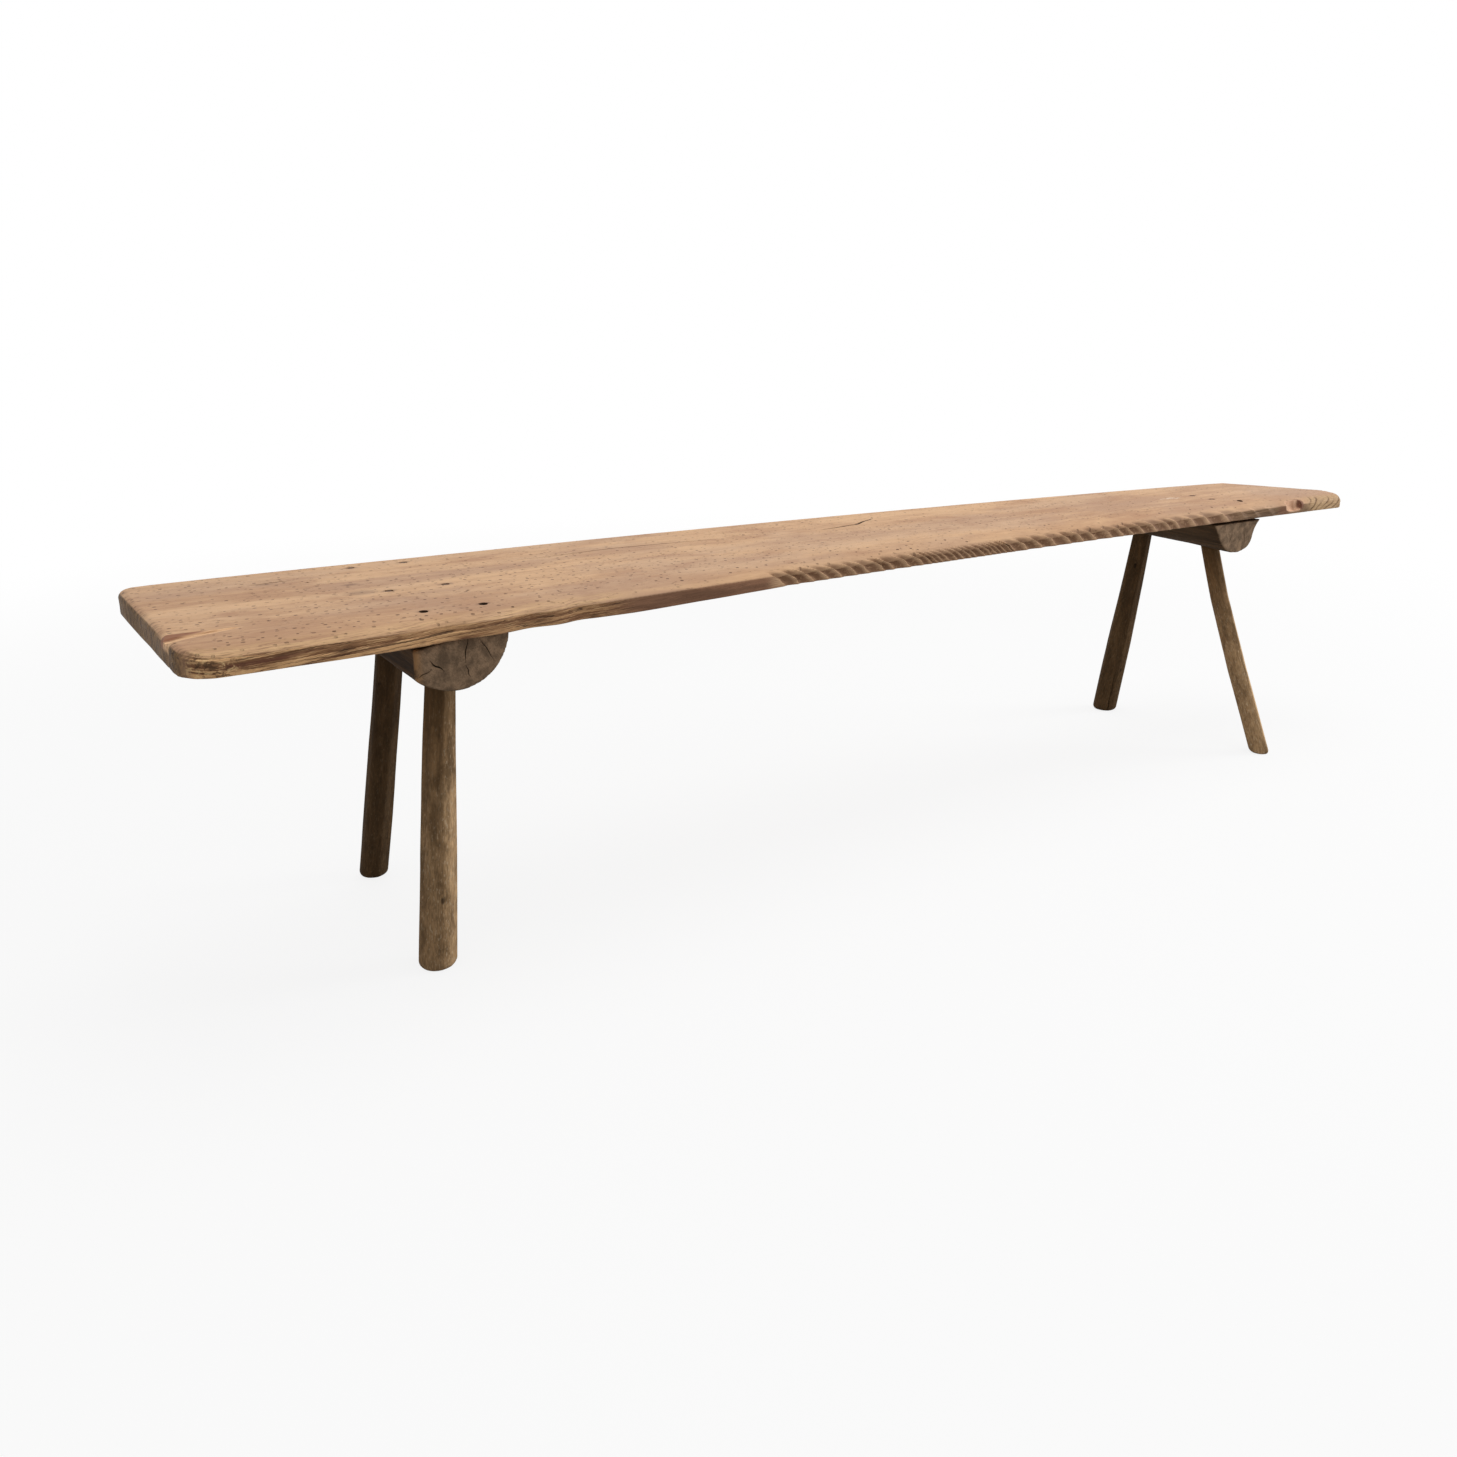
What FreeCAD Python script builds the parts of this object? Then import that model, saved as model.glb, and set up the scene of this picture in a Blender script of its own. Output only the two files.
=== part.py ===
"""Rustic bench: one hewn plank nailed on two half-log bearers, each carried by two wedged round legs.

X runs along the seat, -Y is the front, Z is up and the feet stand on z = 0. Sizes are in millimetres
and degrees, and each of them stands in the sheet below.
"""
import FreeCAD, Part
import math
import os

import Sketcher

Vector = FreeCAD.Vector
doc = FreeCAD.newDocument("Bench")
sheet = doc.addObject("Spreadsheet::Sheet", "Sizes")

SIZES = {
    # Seat plank, a tapering board with a crook along its length
    "seat_height": 460,
    "plank_length": 2084,
    "plank_offset": 4,
    "plank_thickness": 30,
    "plank_left_width": 358,
    "plank_right_width": 209,
    "plank_left_middle": -7,
    "plank_right_middle": -32.5,
    "back_bow": 34,
    "waist_inset": 774,
    "waist_reach": 140,
    "front_swell": 10,
    "front_bow": 12,
    "left_end_skew": 14,
    "right_end_skew": 94,
    "front_left_corner": 40,
    "back_left_corner": 25,
    "back_right_corner": 14,
    "front_right_corner": 16,
    "top_arris": 5,
    "bottom_arris": 3,
    # Front edge worn down by use
    "wear_width": 50,
    "wear_left": 5,
    "wear_middle": 13,
    "wear_right": 11,
    # Axe scallops along the front edge
    "scallop_first": 5,
    "scallop_last": 330,
    "scallop_pitch": 27,
    "scallop_radius": 24,
    "scallop_bite": 5,
    "scallop_slant": 32,
    "scallop_lean": 14,
    "scallop_unevenness": 0.25,
    # Splinter gouge at the left end and chip at the front right corner
    "gouge_mouth_y": -124,
    "gouge_tip_y": -101,
    "gouge_length": 94,
    "gouge_radius": 20,
    "gouge_depth": 7,
    "chip_inset": 167,
    "chip_radius": 58,
    "chip_depth": 10,
    # Half-log bearers, each set in from its end of the plank
    "left_bearer_inset": 309,
    "left_bearer_setback": 17.5,
    "left_bearer_width": 114,
    "left_bearer_depth": 62,
    "left_bearer_length": 304,
    "left_bearer_shoulder": 43,
    "left_bearer_keel": -10,
    "left_bearer_bevel_width": 52,
    "left_bearer_bevel_drop": 7,
    "right_bearer_inset": 305,
    "right_bearer_setback": 9.8,
    "right_bearer_width": 146,
    "right_bearer_depth": 60,
    "right_bearer_length": 232,
    "right_bearer_shoulder": 36,
    "right_bearer_sole": 92,
    "right_bearer_hollow": 8,
    "right_bearer_relief_length": 70,
    "right_bearer_relief_drop": 8,
    # Legs: each head against its bearer's middle and the seat's, and how far its foot is splayed from it
    "front_left_head_x": 1.5,
    "front_left_head_y": -87,
    "front_left_splay_x": -43.5,
    "front_left_splay_y": -16,
    "front_left_foot_width": 49,
    "front_left_shin_width": 45.5,
    "front_left_neck_width": 37,
    "front_left_tenon_width": 31,
    "front_left_bend": -1,
    "back_left_head_x": -6.5,
    "back_left_head_y": 62,
    "back_left_splay_x": -26.5,
    "back_left_splay_y": 130.5,
    "back_left_foot_width": 41,
    "back_left_shin_width": 40.5,
    "back_left_neck_width": 37,
    "back_left_tenon_width": 31,
    "back_left_bend": 1,
    "front_right_head_x": 16,
    "front_right_head_y": -31.5,
    "front_right_splay_x": 37,
    "front_right_splay_y": -164.7,
    "front_right_foot_width": 33,
    "front_right_shin_width": 32.5,
    "front_right_neck_width": 30.5,
    "front_right_tenon_width": 27,
    "front_right_bend": -10,
    "back_right_head_x": 1,
    "back_right_head_y": 79,
    "back_right_splay_x": 14,
    "back_right_splay_y": 61,
    "back_right_foot_width": 47,
    "back_right_shin_width": 46,
    "back_right_neck_width": 34.5,
    "back_right_tenon_width": 29,
    "back_right_bend": 2,
    # Tenons, their bores and wedges
    "tenon_clearance": 0.1,
    "wedge_length": 42,
    "wedge_head": 5,
    "wedge_tip": 1.2,
    # Nails, and where they go through the plank, along it from their bearer's middle
    "nail_length": 52,
    "nail_head_width": 10,
    "nail_head_thickness": 2.5,
    "nail_shank": 5,
    "nail_point": 2,
    "nail_front_sink": 3,
    "left_nails_outer_x": -34,
    "left_nails_inner_x": 36,
    "left_nails_back_y": 144,
    "left_nails_middle_y": -15,
    "left_nails_front_y": -136,
    "right_nail_back_x": -1,
    "right_nail_back_y": -16,
    "right_nail_middle_x": -7,
    "right_nail_middle_y": -62,
    "right_nail_front_x": 25,
    "right_nail_front_y": -97,
}

for row, (alias, value) in enumerate(SIZES.items(), start=1):
    sheet.set("A%d" % row, alias)
    sheet.set("B%d" % row, str(value))
    sheet.setAlias("B%d" % row, alias)
doc.recompute()


# Reading the sheet

def named(expression):
    """An expression whose words after # are names in the sheet."""
    return expression.replace("#", "Sizes.")


def worth(expression):
    """The number that an expression stands for."""
    value = sheet.evalExpression(named(expression))
    return float(getattr(value, "Value", value))


def size(alias):
    return worth("#" + alias)


def bind(item, prop, expression):
    """Tie one property of an object to the sheet."""
    item.setExpression(prop, named(expression))


# Places that several pieces share

UNDERSIDE = "#seat_height - #plank_thickness"
LEFT_END = "#plank_offset - #plank_length / 2"
RIGHT_END = "#plank_offset + #plank_length / 2"
seat_top = size("seat_height")
seat_underside = worth(UNDERSIDE)


def corner_y(end, side):
    """How far from the middle line the plank's front (-) or back (+) corner lies at one end."""
    return "(#plank_%s_middle %s #plank_%s_width / 2)" % (end, side, end)


CORNERS = {
    "front_left": (LEFT_END + " + #left_end_skew", corner_y("left", "-")),
    "waist": (LEFT_END + " + #waist_inset", "-#waist_reach"),
    "front_right": (RIGHT_END, corner_y("right", "-")),
    "back_right": (RIGHT_END + " - #right_end_skew", corner_y("right", "+")),
    "back_left": (LEFT_END, corner_y("left", "+")),
}
BOWS = {0: ("#front_swell", True), 1: ("#front_bow", False), 3: ("#back_bow", True)}
BEARER_PLACES = {"left": LEFT_END + " + #left_bearer_inset", "right": RIGHT_END + " - #right_bearer_inset"}


def bowed(x, start, end, bow):
    """Where a bowed edge between two corners runs at a place along the plank."""
    share = "((%s - (%s)) / (%s - (%s)))" % (x, start[0], end[0], start[0])
    return "(%s + (%s - (%s)) * %s + 4 * (%s) * %s * (1 - %s))" % (
        start[1], end[1], start[1], share, bow, share, share,
    )


def front_edge(x):
    """Where the plank's front edge runs, which swells left of its waist and bows in right of it."""
    left = bowed(x, CORNERS["front_left"], CORNERS["waist"], "-#front_swell")
    right = bowed(x, CORNERS["waist"], CORNERS["front_right"], "#front_bow")
    return "(%s < %s ? %s : %s)" % (x, CORNERS["waist"][0], left, right)


# Sketching

def new_body(name):
    return doc.addObject("PartDesign::Body", name)


def new_sketch(body, name, role):
    """A sketch on one of its body's own origin planes."""
    sketch = body.newObject("Sketcher::SketchObject", name)
    plane = next(feature for feature in body.Origin.OriginFeatures if feature.Role == role)
    sketch.AttachmentSupport = (plane, [""])
    sketch.MapMode = "FlatFace"
    return sketch


def constrain(sketch, kind, places, expression):
    """Add one dimension and tie it to the sheet."""
    number = sketch.addConstraint(Sketcher.Constraint(kind, *places, worth(expression)))
    bind(sketch, "Constraints[%d]" % number, expression)


def bulge_radius(start, end, bulge):
    """The radius of an arc between two corners that stands off its chord by a bulge."""
    chord = "((%s - (%s)) ^ 2 + (%s - (%s)) ^ 2)" % (end[0], start[0], end[1], start[1])
    return "(%s / 4 + (%s) ^ 2) / (2 * (%s))" % (chord, bulge, bulge)


def level_bulge(run, rise):
    """How far an arc that starts out level stands off its chord after a run and a rise."""
    chord = "sqrt((%s) ^ 2 + (%s) ^ 2)" % (run, rise)
    return "%s * (%s - (%s)) / (2 * (%s))" % (chord, chord, run, rise)


def draw_loop(sketch, corners, bulges=None):
    """A closed outline through corners, which are pairs of expressions, in anticlockwise order.

    bulges maps the number of a side to how far it stands out as an arc, with True, or in, with False.
    """
    bulges = bulges or {}
    points = [Vector(worth(x), worth(y), 0) for x, y in corners]
    count = len(points)
    ends = []
    for side in range(count):
        start = points[side]
        end = points[(side + 1) % count]
        if side in bulges:
            bulge, outwards = bulges[side]
            outward = Vector(end.y - start.y, start.x - end.x, 0).normalize()
            reach = worth(bulge) if outwards else -worth(bulge)
            sketch.addGeometry(Part.Arc(start, (start + end) * 0.5 + outward * reach, end), False)
            ends.append((1, 2) if outwards else (2, 1))
        else:
            sketch.addGeometry(Part.LineSegment(start, end), False)
            ends.append((1, 2))
    for side in range(count):
        following = (side + 1) % count
        joint = (side, ends[side][1], following, ends[following][0])
        sketch.addConstraint(Sketcher.Constraint("Coincident", *joint))
    for side, (x, y) in enumerate(corners):
        constrain(sketch, "DistanceX", (-1, 1, side, ends[side][0]), x)
        constrain(sketch, "DistanceY", (-1, 1, side, ends[side][0]), y)
    for side, (bulge, outwards) in bulges.items():
        radius = bulge_radius(corners[side], corners[(side + 1) % count], bulge)
        constrain(sketch, "Radius", (side,), radius)


def draw_circle(sketch, width):
    sketch.addGeometry(Part.Circle(Vector(0, 0, 0), Vector(0, 0, 1), worth(width) / 2), False)
    constrain(sketch, "Diameter", (0,), width)
    sketch.addConstraint(Sketcher.Constraint("Coincident", 0, 3, -1, 1))


def draw_facets(sketch, width, count, offset):
    """A ring of equal flats, as a drawknife leaves them, moved sideways by an offset."""
    turns = [math.radians(360 * (number + 0.5) / count) for number in range(count)]
    draw_loop(sketch, [
        ("%s * %.6f + %s" % (width, math.cos(turn) / 2, offset), "%s * %.6f" % (width, math.sin(turn) / 2))
        for turn in turns
    ])


def pad(body, name, sketch, length, **settings):
    feature = body.newObject("PartDesign::Pad", name)
    feature.Profile = sketch
    for key, value in settings.items():
        setattr(feature, key, value)
    bind(feature, "Length", length)
    return feature


def loft(kind, body, name, sections):
    """A loft that runs straight from each section to the next."""
    feature = body.newObject("PartDesign::" + kind, name)
    feature.Profile = sections[0]
    feature.Sections = sections[1:]
    feature.Ruled = True
    return feature


# Solids and booleans

def solid(kind, name, **sizes):
    """A primitive whose sizes are expressions."""
    item = doc.addObject("Part::" + kind, name)
    for prop, expression in sizes.items():
        bind(item, prop, expression)
    return item


def combine(kind, name, pieces):
    item = doc.addObject("Part::" + kind, name)
    setattr(item, "Links" if kind == "Compound" else "Shapes", pieces)
    return item


def cut(name, base, tool):
    item = doc.addObject("Part::Cut", name)
    item.Base = base
    item.Tool = tool
    return item


def pointing(direction, base):
    """A placement whose Z axis points along a direction."""
    return FreeCAD.Placement(base, FreeCAD.Rotation(Vector(0, 0, 1), direction))


# Seat plank: a slab with rounded corners and eased arrises

plank_body = new_body("plank_blank")
plan = new_sketch(plank_body, "plank_outline", "XY_Plane")
bind(plan, "AttachmentOffset.Base.z", UNDERSIDE)
draw_loop(plan, list(CORNERS.values()), BOWS)
plank_blank = pad(plank_body, "plank_slab", plan, "#plank_thickness")
doc.recompute()


def dress_edges(kind, name, base, wanted, prop, width):
    """Round or chamfer the edges of the plank that a test picks out."""
    edges = enumerate(base.Shape.Edges, start=1)
    feature = plank_body.newObject("PartDesign::" + kind, name)
    feature.Base = (base, ["Edge%d" % number for number, edge in edges if wanted(edge)])
    bind(feature, prop, width)
    doc.recompute()
    return feature


def stands_at(x, y):
    """A test for the upright edge at a corner."""
    corner = Vector(x, y, 0)
    return lambda edge: all((Vector(v.X, v.Y, 0) - corner).Length < 0.5 for v in edge.Vertexes)


def lies_at(z):
    """A test for the edges at one height."""
    return lambda edge: all(abs(vertex.Z - z) < 1e-4 for vertex in edge.Vertexes)


for corner, (x, y) in CORNERS.items():
    if corner != "waist":
        upright = stands_at(worth(x), worth(y))
        width = "#%s_corner" % corner
        plank_blank = dress_edges("Fillet", corner + "_round", plank_blank, upright, "Radius", width)
for arris, z in (("top_arris", seat_top), ("bottom_arris", seat_underside)):
    plank_blank = dress_edges("Chamfer", arris, plank_blank, lies_at(z), "Size", "#" + arris)
unworn_volume = plank_blank.Shape.Volume

# Seat plank: the front edge, worn down in two slopes along its whole length

PAST_THE_ENDS = 1.02
SHOULDER_SHARE = 0.45
SHOULDER_DROP = 0.3
WEAR_STATIONS = (-1, -0.75, -0.5, -0.25, 0, 0.5, 1)
wear_sections = []
for share in WEAR_STATIONS:
    section = new_sketch(plank_body, "wear_section", "YZ_Plane")
    place = "(#plank_offset + %s * #plank_length / 2)" % (PAST_THE_ENDS * share)
    end_wear = "#wear_left" if share < 0 else "#wear_right"
    wear = "(#wear_middle + (%s - #wear_middle) * %s)" % (end_wear, abs(share))
    front = front_edge(place)
    above = "#seat_height + #plank_thickness"
    shoulder_drop = "%s * %s" % (wear, SHOULDER_DROP)
    front_drop = "%s * (1 + %s)" % (wear, (1 - SHOULDER_DROP) / SHOULDER_SHARE)
    back_rise = "%s * %s" % (wear, SHOULDER_DROP / (1 - SHOULDER_SHARE))
    draw_loop(section, [
        (front + " + #wear_width * 2", above),
        (front + " - #wear_width", above),
        (front + " - #wear_width", "#seat_height - " + front_drop),
        ("%s + #wear_width * %s" % (front, SHOULDER_SHARE), "#seat_height - " + shoulder_drop),
        (front + " + #wear_width * 2", "#seat_height + " + back_rise),
    ])
    bind(section, "AttachmentOffset.Base.z", place)
    wear_sections.append(section)
front_wear = loft("SubtractiveLoft", plank_body, "front_wear", wear_sections)
doc.recompute()

# Seat plank: axe scallops, splinter gouge and chip

DRIFT_RHYTHM = 1.7
DEPTH_RHYTHM = 2.6


def scallops():
    """Slanting round cuts along the front edge that bite deepest at its top."""
    slant = math.radians(size("scallop_slant"))
    lean = math.radians(size("scallop_lean"))
    upwards = Vector(-math.sin(slant), math.sin(lean), math.cos(slant)).normalize()
    half_length = 3 * size("plank_thickness")
    first = worth(CORNERS["waist"][0] + " + #scallop_first")
    span = worth(RIGHT_END + " - #scallop_last") - first
    uneven = size("scallop_unevenness")
    cuts = []
    for number in range(int(span / size("scallop_pitch")) + 1):
        drift = uneven * math.sin(DRIFT_RHYTHM * number)
        depth = 1 + uneven * math.sin(DEPTH_RHYTHM * number)
        x = first + (number + drift) * size("scallop_pitch")
        y = worth(front_edge(str(x))) + size("scallop_bite") * depth - size("scallop_radius")
        middle = Vector(x, y, seat_top - size("wear_middle") / 2)
        item = solid("Cylinder", "scallop", Radius="#scallop_radius")
        item.Height = 2 * half_length
        item.Placement = pointing(upwards, middle - upwards * half_length)
        cuts.append(item)
    return combine("MultiFuse", "scallops", cuts)


def gouge():
    """A splinter torn out of the left end, running to a point."""
    mouth_height = seat_top - size("gouge_depth") + size("gouge_radius")
    mouth = Vector(worth(LEFT_END), size("gouge_mouth_y"), mouth_height)
    tip = Vector(worth(LEFT_END) + size("gouge_length"), size("gouge_tip_y"), seat_top)
    item = solid("Cone", "gouge", Radius1="#gouge_radius", Radius2="0")
    item.Height = (tip - mouth).Length
    item.Placement = pointing((tip - mouth).normalize(), mouth)
    return item


def chip():
    """A hollow broken out of the front edge near its right end."""
    item = solid("Sphere", "chip", Radius="#chip_radius")
    place = "(%s - #chip_inset)" % RIGHT_END
    reach = "%s + #chip_depth - #chip_radius" % front_edge(place)
    item.Placement.Base = Vector(worth(place), worth(reach), seat_top)
    return item


hewn_plank = plank_body
for tool in (scallops(), gouge(), chip()):
    hewn_plank = cut("plank_with_" + tool.Name, hewn_plank, tool)

# Nails: a flat head and a tapered square shank, sunk where the front edge is worn


def nail(x, y, sink):
    """One nail with its head at the plank's top, and the hollow over its head."""
    top = Vector(x, y, seat_top - sink)
    head = solid("Cylinder", "nail_head", Radius="#nail_head_width / 2", Height="#nail_head_thickness")
    head.Placement.Base = top - Vector(0, 0, size("nail_head_thickness"))
    shank = solid(
        "Wedge", "nail_shank",
        Xmin="-#nail_shank / 2", Xmax="#nail_shank / 2", Zmin="-#nail_shank / 2", Zmax="#nail_shank / 2",
        X2min="-#nail_point / 2", X2max="#nail_point / 2", Z2min="-#nail_point / 2", Z2max="#nail_point / 2",
        Ymin="0", Ymax="#nail_length - #nail_head_thickness / 2",
    )
    downwards = FreeCAD.Rotation(Vector(0, 1, 0), Vector(0, 0, -1))
    shank.Placement = FreeCAD.Placement(top - Vector(0, 0, size("nail_head_thickness") / 2), downwards)
    hollow = solid("Cylinder", "nail_hollow", Radius="#nail_head_width / 2", Height="#plank_thickness")
    hollow.Placement.Base = top
    return combine("MultiFuse", "nail", [head, shank]), hollow


nail_places = {"left": [], "right": []}
for line, sink in (("back", 0), ("middle", 0), ("front", size("nail_front_sink"))):
    for column in ("outer", "inner"):
        place = (size("left_nails_%s_x" % column), size("left_nails_%s_y" % line), sink)
        nail_places["left"].append(place)
    place = (size("right_nail_%s_x" % line), size("right_nail_%s_y" % line), sink)
    nail_places["right"].append(place)

nails = {}
for end, places in nail_places.items():
    bearer_x = worth(BEARER_PLACES[end])
    made = [nail(bearer_x + x, y, sink) for x, y, sink in places]
    nails[end] = combine("Compound", end + "_bearer_nails", [piece for piece, hollow in made])
    hollows = combine("Compound", end + "_nail_hollows", [hollow for piece, hollow in made])
    hewn_plank = cut(end + "_nail_mouths", hewn_plank, hollows)
    hewn_plank = cut(end + "_nail_holes", hewn_plank, nails[end])
seat_plank = hewn_plank

# Bearers: half logs, drawn from the middle of their flat side and run from front to back


def bearer_blank(end, corners, bulges):
    body = new_body(end + "_bearer_blank")
    section = new_sketch(body, end + "_bearer_section", "XZ_Plane")
    draw_loop(section, corners, bulges)
    log = pad(body, end + "_bearer_log", section, "#%s_bearer_length" % end, Reversed=True)
    place = "(%s)" % BEARER_PLACES[end]
    bind(body, "Placement.Base.x", place)
    bind(body, "Placement.Base.y", "%s + #%s_bearer_setback" % (front_edge(place), end))
    bind(body, "Placement.Base.z", UNDERSIDE)
    return body, log


left_half = "#left_bearer_width / 2"
left_flank_rise = "#left_bearer_depth - #left_bearer_shoulder"
left_body, left_log = bearer_blank(
    "left",
    [
        ("-" + left_half, "-#left_bearer_bevel_drop"),
        ("-" + left_half, "-#left_bearer_shoulder"),
        ("#left_bearer_keel", "-#left_bearer_depth"),
        (left_half, "0"),
        ("-%s + #left_bearer_bevel_width" % left_half, "0"),
    ],
    {
        1: (level_bulge(left_half + " + #left_bearer_keel", left_flank_rise), True),
        2: (level_bulge(left_half + " - #left_bearer_keel", "#left_bearer_depth"), True),
    },
)
right_half = "#right_bearer_width / 2"
right_body, right_log = bearer_blank(
    "right",
    [
        ("-" + right_half, "0"),
        ("-#right_bearer_sole / 2", "-#right_bearer_shoulder"),
        ("#right_bearer_sole / 2", "-#right_bearer_shoulder"),
        (right_half, "0"),
    ],
    {
        1: ("#right_bearer_depth - #right_bearer_shoulder", True),
        2: ("#right_bearer_hollow", False),
    },
)
relief_section = new_sketch(right_body, "right_bearer_relief_section", "YZ_Plane")
draw_loop(relief_section, [
    ("0", "-#right_bearer_relief_drop"),
    ("#right_bearer_relief_length", "0"),
    ("0", "0"),
])
relief = right_body.newObject("PartDesign::Pocket", "right_bearer_relief")
relief.Profile = relief_section
relief.Type = "ThroughAll"
relief.Midplane = True
doc.recompute()

# Legs: bent, tapered, shaved shafts whose tenons go through the bearers

SHAFT_FACETS = 16
KNEE_SHARE = 0.35
SHIN_SHARE = 0.65
stand = solid(
    "Box", "stand_height", Length="#plank_length * 2", Width="#plank_length", Height=UNDERSIDE,
)
stand.Placement.Base = Vector(-size("plank_length"), -size("plank_length") / 2, 0)


class Leg:
    """One leg in its own frame: its head at the origin, its foot straight below."""

    def __init__(self, name, end):
        self.name = name
        self.depth = "#%s_bearer_depth" % end
        head_x = worth(BEARER_PLACES[end]) + size(name + "_head_x")
        head = Vector(head_x, size(name + "_head_y"), seat_underside)
        upwards = Vector(-size(name + "_splay_x"), -size(name + "_splay_y"), seat_underside)
        self.reach = upwards.Length
        self.placement = pointing(upwards.normalize(), head)

    def width(self, part):
        return "#%s_%s_width" % (self.name, part)

    def centred(self, item, half_length):
        """Lay an item of a given half length along the leg with its middle at the head."""
        start = self.placement.multVec(Vector(0, 0, -half_length))
        item.Placement = FreeCAD.Placement(start, self.placement.Rotation)
        return item

    def shaft(self):
        """Shaved sections from inside the bearer to below the floor, and the tenon above them."""
        body = new_body(self.name + "_leg_blank")
        knee_width = "(%s + %s) / 2" % (self.width("neck"), self.width("shin"))
        bend = "#%s_bend" % self.name
        below_floor = "-%s - %s" % (self.reach, self.width("foot"))
        stations = (
            ("neck", self.width("neck"), "-%s / 2" % self.depth, "0"),
            ("knee", knee_width, "-%s * %s" % (self.reach, KNEE_SHARE), bend),
            ("shin", self.width("shin"), "-%s * %s" % (self.reach, SHIN_SHARE), bend),
            ("foot", self.width("foot"), below_floor, "0"),
        )
        rings = []
        for part, width, height, offset in stations:
            ring = new_sketch(body, "%s_%s_ring" % (self.name, part), "XY_Plane")
            draw_facets(ring, width, SHAFT_FACETS, offset)
            bind(ring, "AttachmentOffset.Base.z", height)
            rings.append(ring)
        loft("AdditiveLoft", body, self.name + "_shaft", rings)
        tenon = new_sketch(body, self.name + "_tenon_ring", "XY_Plane")
        draw_circle(tenon, self.width("tenon"))
        bind(tenon, "AttachmentOffset.Base.z", "-" + self.depth)
        pad(body, self.name + "_tenon", tenon, "%s * 2" % self.depth)
        body.Placement = self.placement
        return body

    def bore(self):
        radius = self.width("tenon") + " / 2 + #tenon_clearance"
        item = solid("Cylinder", self.name + "_bore", Radius=radius, Height=self.depth + " * 4")
        return self.centred(item, 2 * worth(self.depth))

    def wedge(self):
        """A wedge across the tenon, as wide as the tenon and flush with its top."""
        body = new_body(self.name + "_wedge_blank")
        section = new_sketch(body, self.name + "_wedge_section", "YZ_Plane")
        head = "#wedge_head / 2"
        tip = "#wedge_tip / 2"
        draw_loop(section, [
            ("-" + tip, "-#wedge_length"),
            (tip, "-#wedge_length"),
            (head, "0"),
            (head, "#wedge_length"),
            ("-" + head, "#wedge_length"),
            ("-" + head, "0"),
        ])
        pad(body, self.name + "_wedge_plate", section, self.width("tenon") + " * 2", Midplane=True)
        body.Placement = self.placement
        radius = self.width("tenon") + " / 2"
        core = solid("Cylinder", self.name + "_tenon_core", Radius=radius, Height="#wedge_length * 4")
        self.centred(core, 2 * size("wedge_length"))
        return combine("MultiCommon", self.name + "_wedge", [body, core, stand])


legs = {
    end: [Leg("%s_%s" % (side, end), end) for side in ("front", "back")] for end in ("left", "right")
}
pieces = {"seat_plank": seat_plank}
for end, body in (("left", left_body), ("right", right_body)):
    bored = cut(end + "_bearer_nailed", body, nails[end])
    for leg in legs[end]:
        bored = cut(leg.name + "_mortise", bored, leg.bore())
    pieces[end + "_bearer"] = bored
    pieces[end + "_bearer_nails"] = nails[end]
    for leg in legs[end]:
        wedge = leg.wedge()
        level = combine("MultiCommon", leg.name + "_levelled", [leg.shaft(), stand])
        shouldered = cut(leg.name + "_shouldered", level, bored)
        pieces[leg.name + "_leg"] = cut(leg.name + "_split", shouldered, wedge)
        pieces[leg.name + "_wedge"] = wedge
doc.recompute()

# Checks, then one file for each piece

for item in doc.Objects:
    if "Invalid" in item.State or "Error" in item.State:
        raise RuntimeError("%s failed: %s" % (item.Name, item.State))
for made, unmade in ((front_wear.Shape.Volume, unworn_volume), (relief.Shape.Volume, right_log.Shape.Volume)):
    if made >= unmade:
        raise RuntimeError("a cut took nothing away")
os.makedirs("parts", exist_ok=True)
for name, piece in pieces.items():
    piece.Label = name
    shape = piece.Shape
    if shape.isNull() or not shape.isValid():
        raise RuntimeError("%s has no valid shape" % name)
    print("%-22s solids %d  volume %9.0f" % (name, len(shape.Solids), shape.Volume))
    shape.exportStep("parts/%s.step" % name)
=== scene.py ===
"""Looks of a rustic plank bench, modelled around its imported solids.

Lengths are in metres, in the frame of the solids: X runs along the seat, -Y is the front and Z is up.
"""
import math
import random
from contextlib import contextmanager
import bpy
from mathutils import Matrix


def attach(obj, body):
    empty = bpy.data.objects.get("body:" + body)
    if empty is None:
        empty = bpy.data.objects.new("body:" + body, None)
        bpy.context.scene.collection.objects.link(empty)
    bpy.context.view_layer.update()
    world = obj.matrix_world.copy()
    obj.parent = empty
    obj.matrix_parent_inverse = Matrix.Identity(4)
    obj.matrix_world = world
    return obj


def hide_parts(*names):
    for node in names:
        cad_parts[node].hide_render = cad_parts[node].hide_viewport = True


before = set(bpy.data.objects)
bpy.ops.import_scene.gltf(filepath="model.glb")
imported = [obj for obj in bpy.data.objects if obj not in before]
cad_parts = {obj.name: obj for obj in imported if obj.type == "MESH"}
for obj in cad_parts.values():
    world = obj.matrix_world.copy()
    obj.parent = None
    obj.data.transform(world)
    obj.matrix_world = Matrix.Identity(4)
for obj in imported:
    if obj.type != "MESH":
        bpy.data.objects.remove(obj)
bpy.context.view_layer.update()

from types import SimpleNamespace

import bmesh
import bpy
import numpy as np
from bpy.props import FloatProperty, FloatVectorProperty, IntProperty, PointerProperty
from mathutils import Matrix, Vector, kdtree, noise

bl_info = {
    "name": "Rustic Plank Bench",
    "version": (1, 0, 0),
    "blender": (4, 5, 0),
    "location": "3D View > Sidebar > Bench",
    "description": "Models a worn plank bench with half-log bearers and splayed legs",
    "category": "Add Mesh",
}

SEAT_TOP = 0.460
SEAT_UNDERSIDE = 0.430
# Play between a tenon and its bore, and between a leg's top and the plank
FIT = 0.0002
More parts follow.
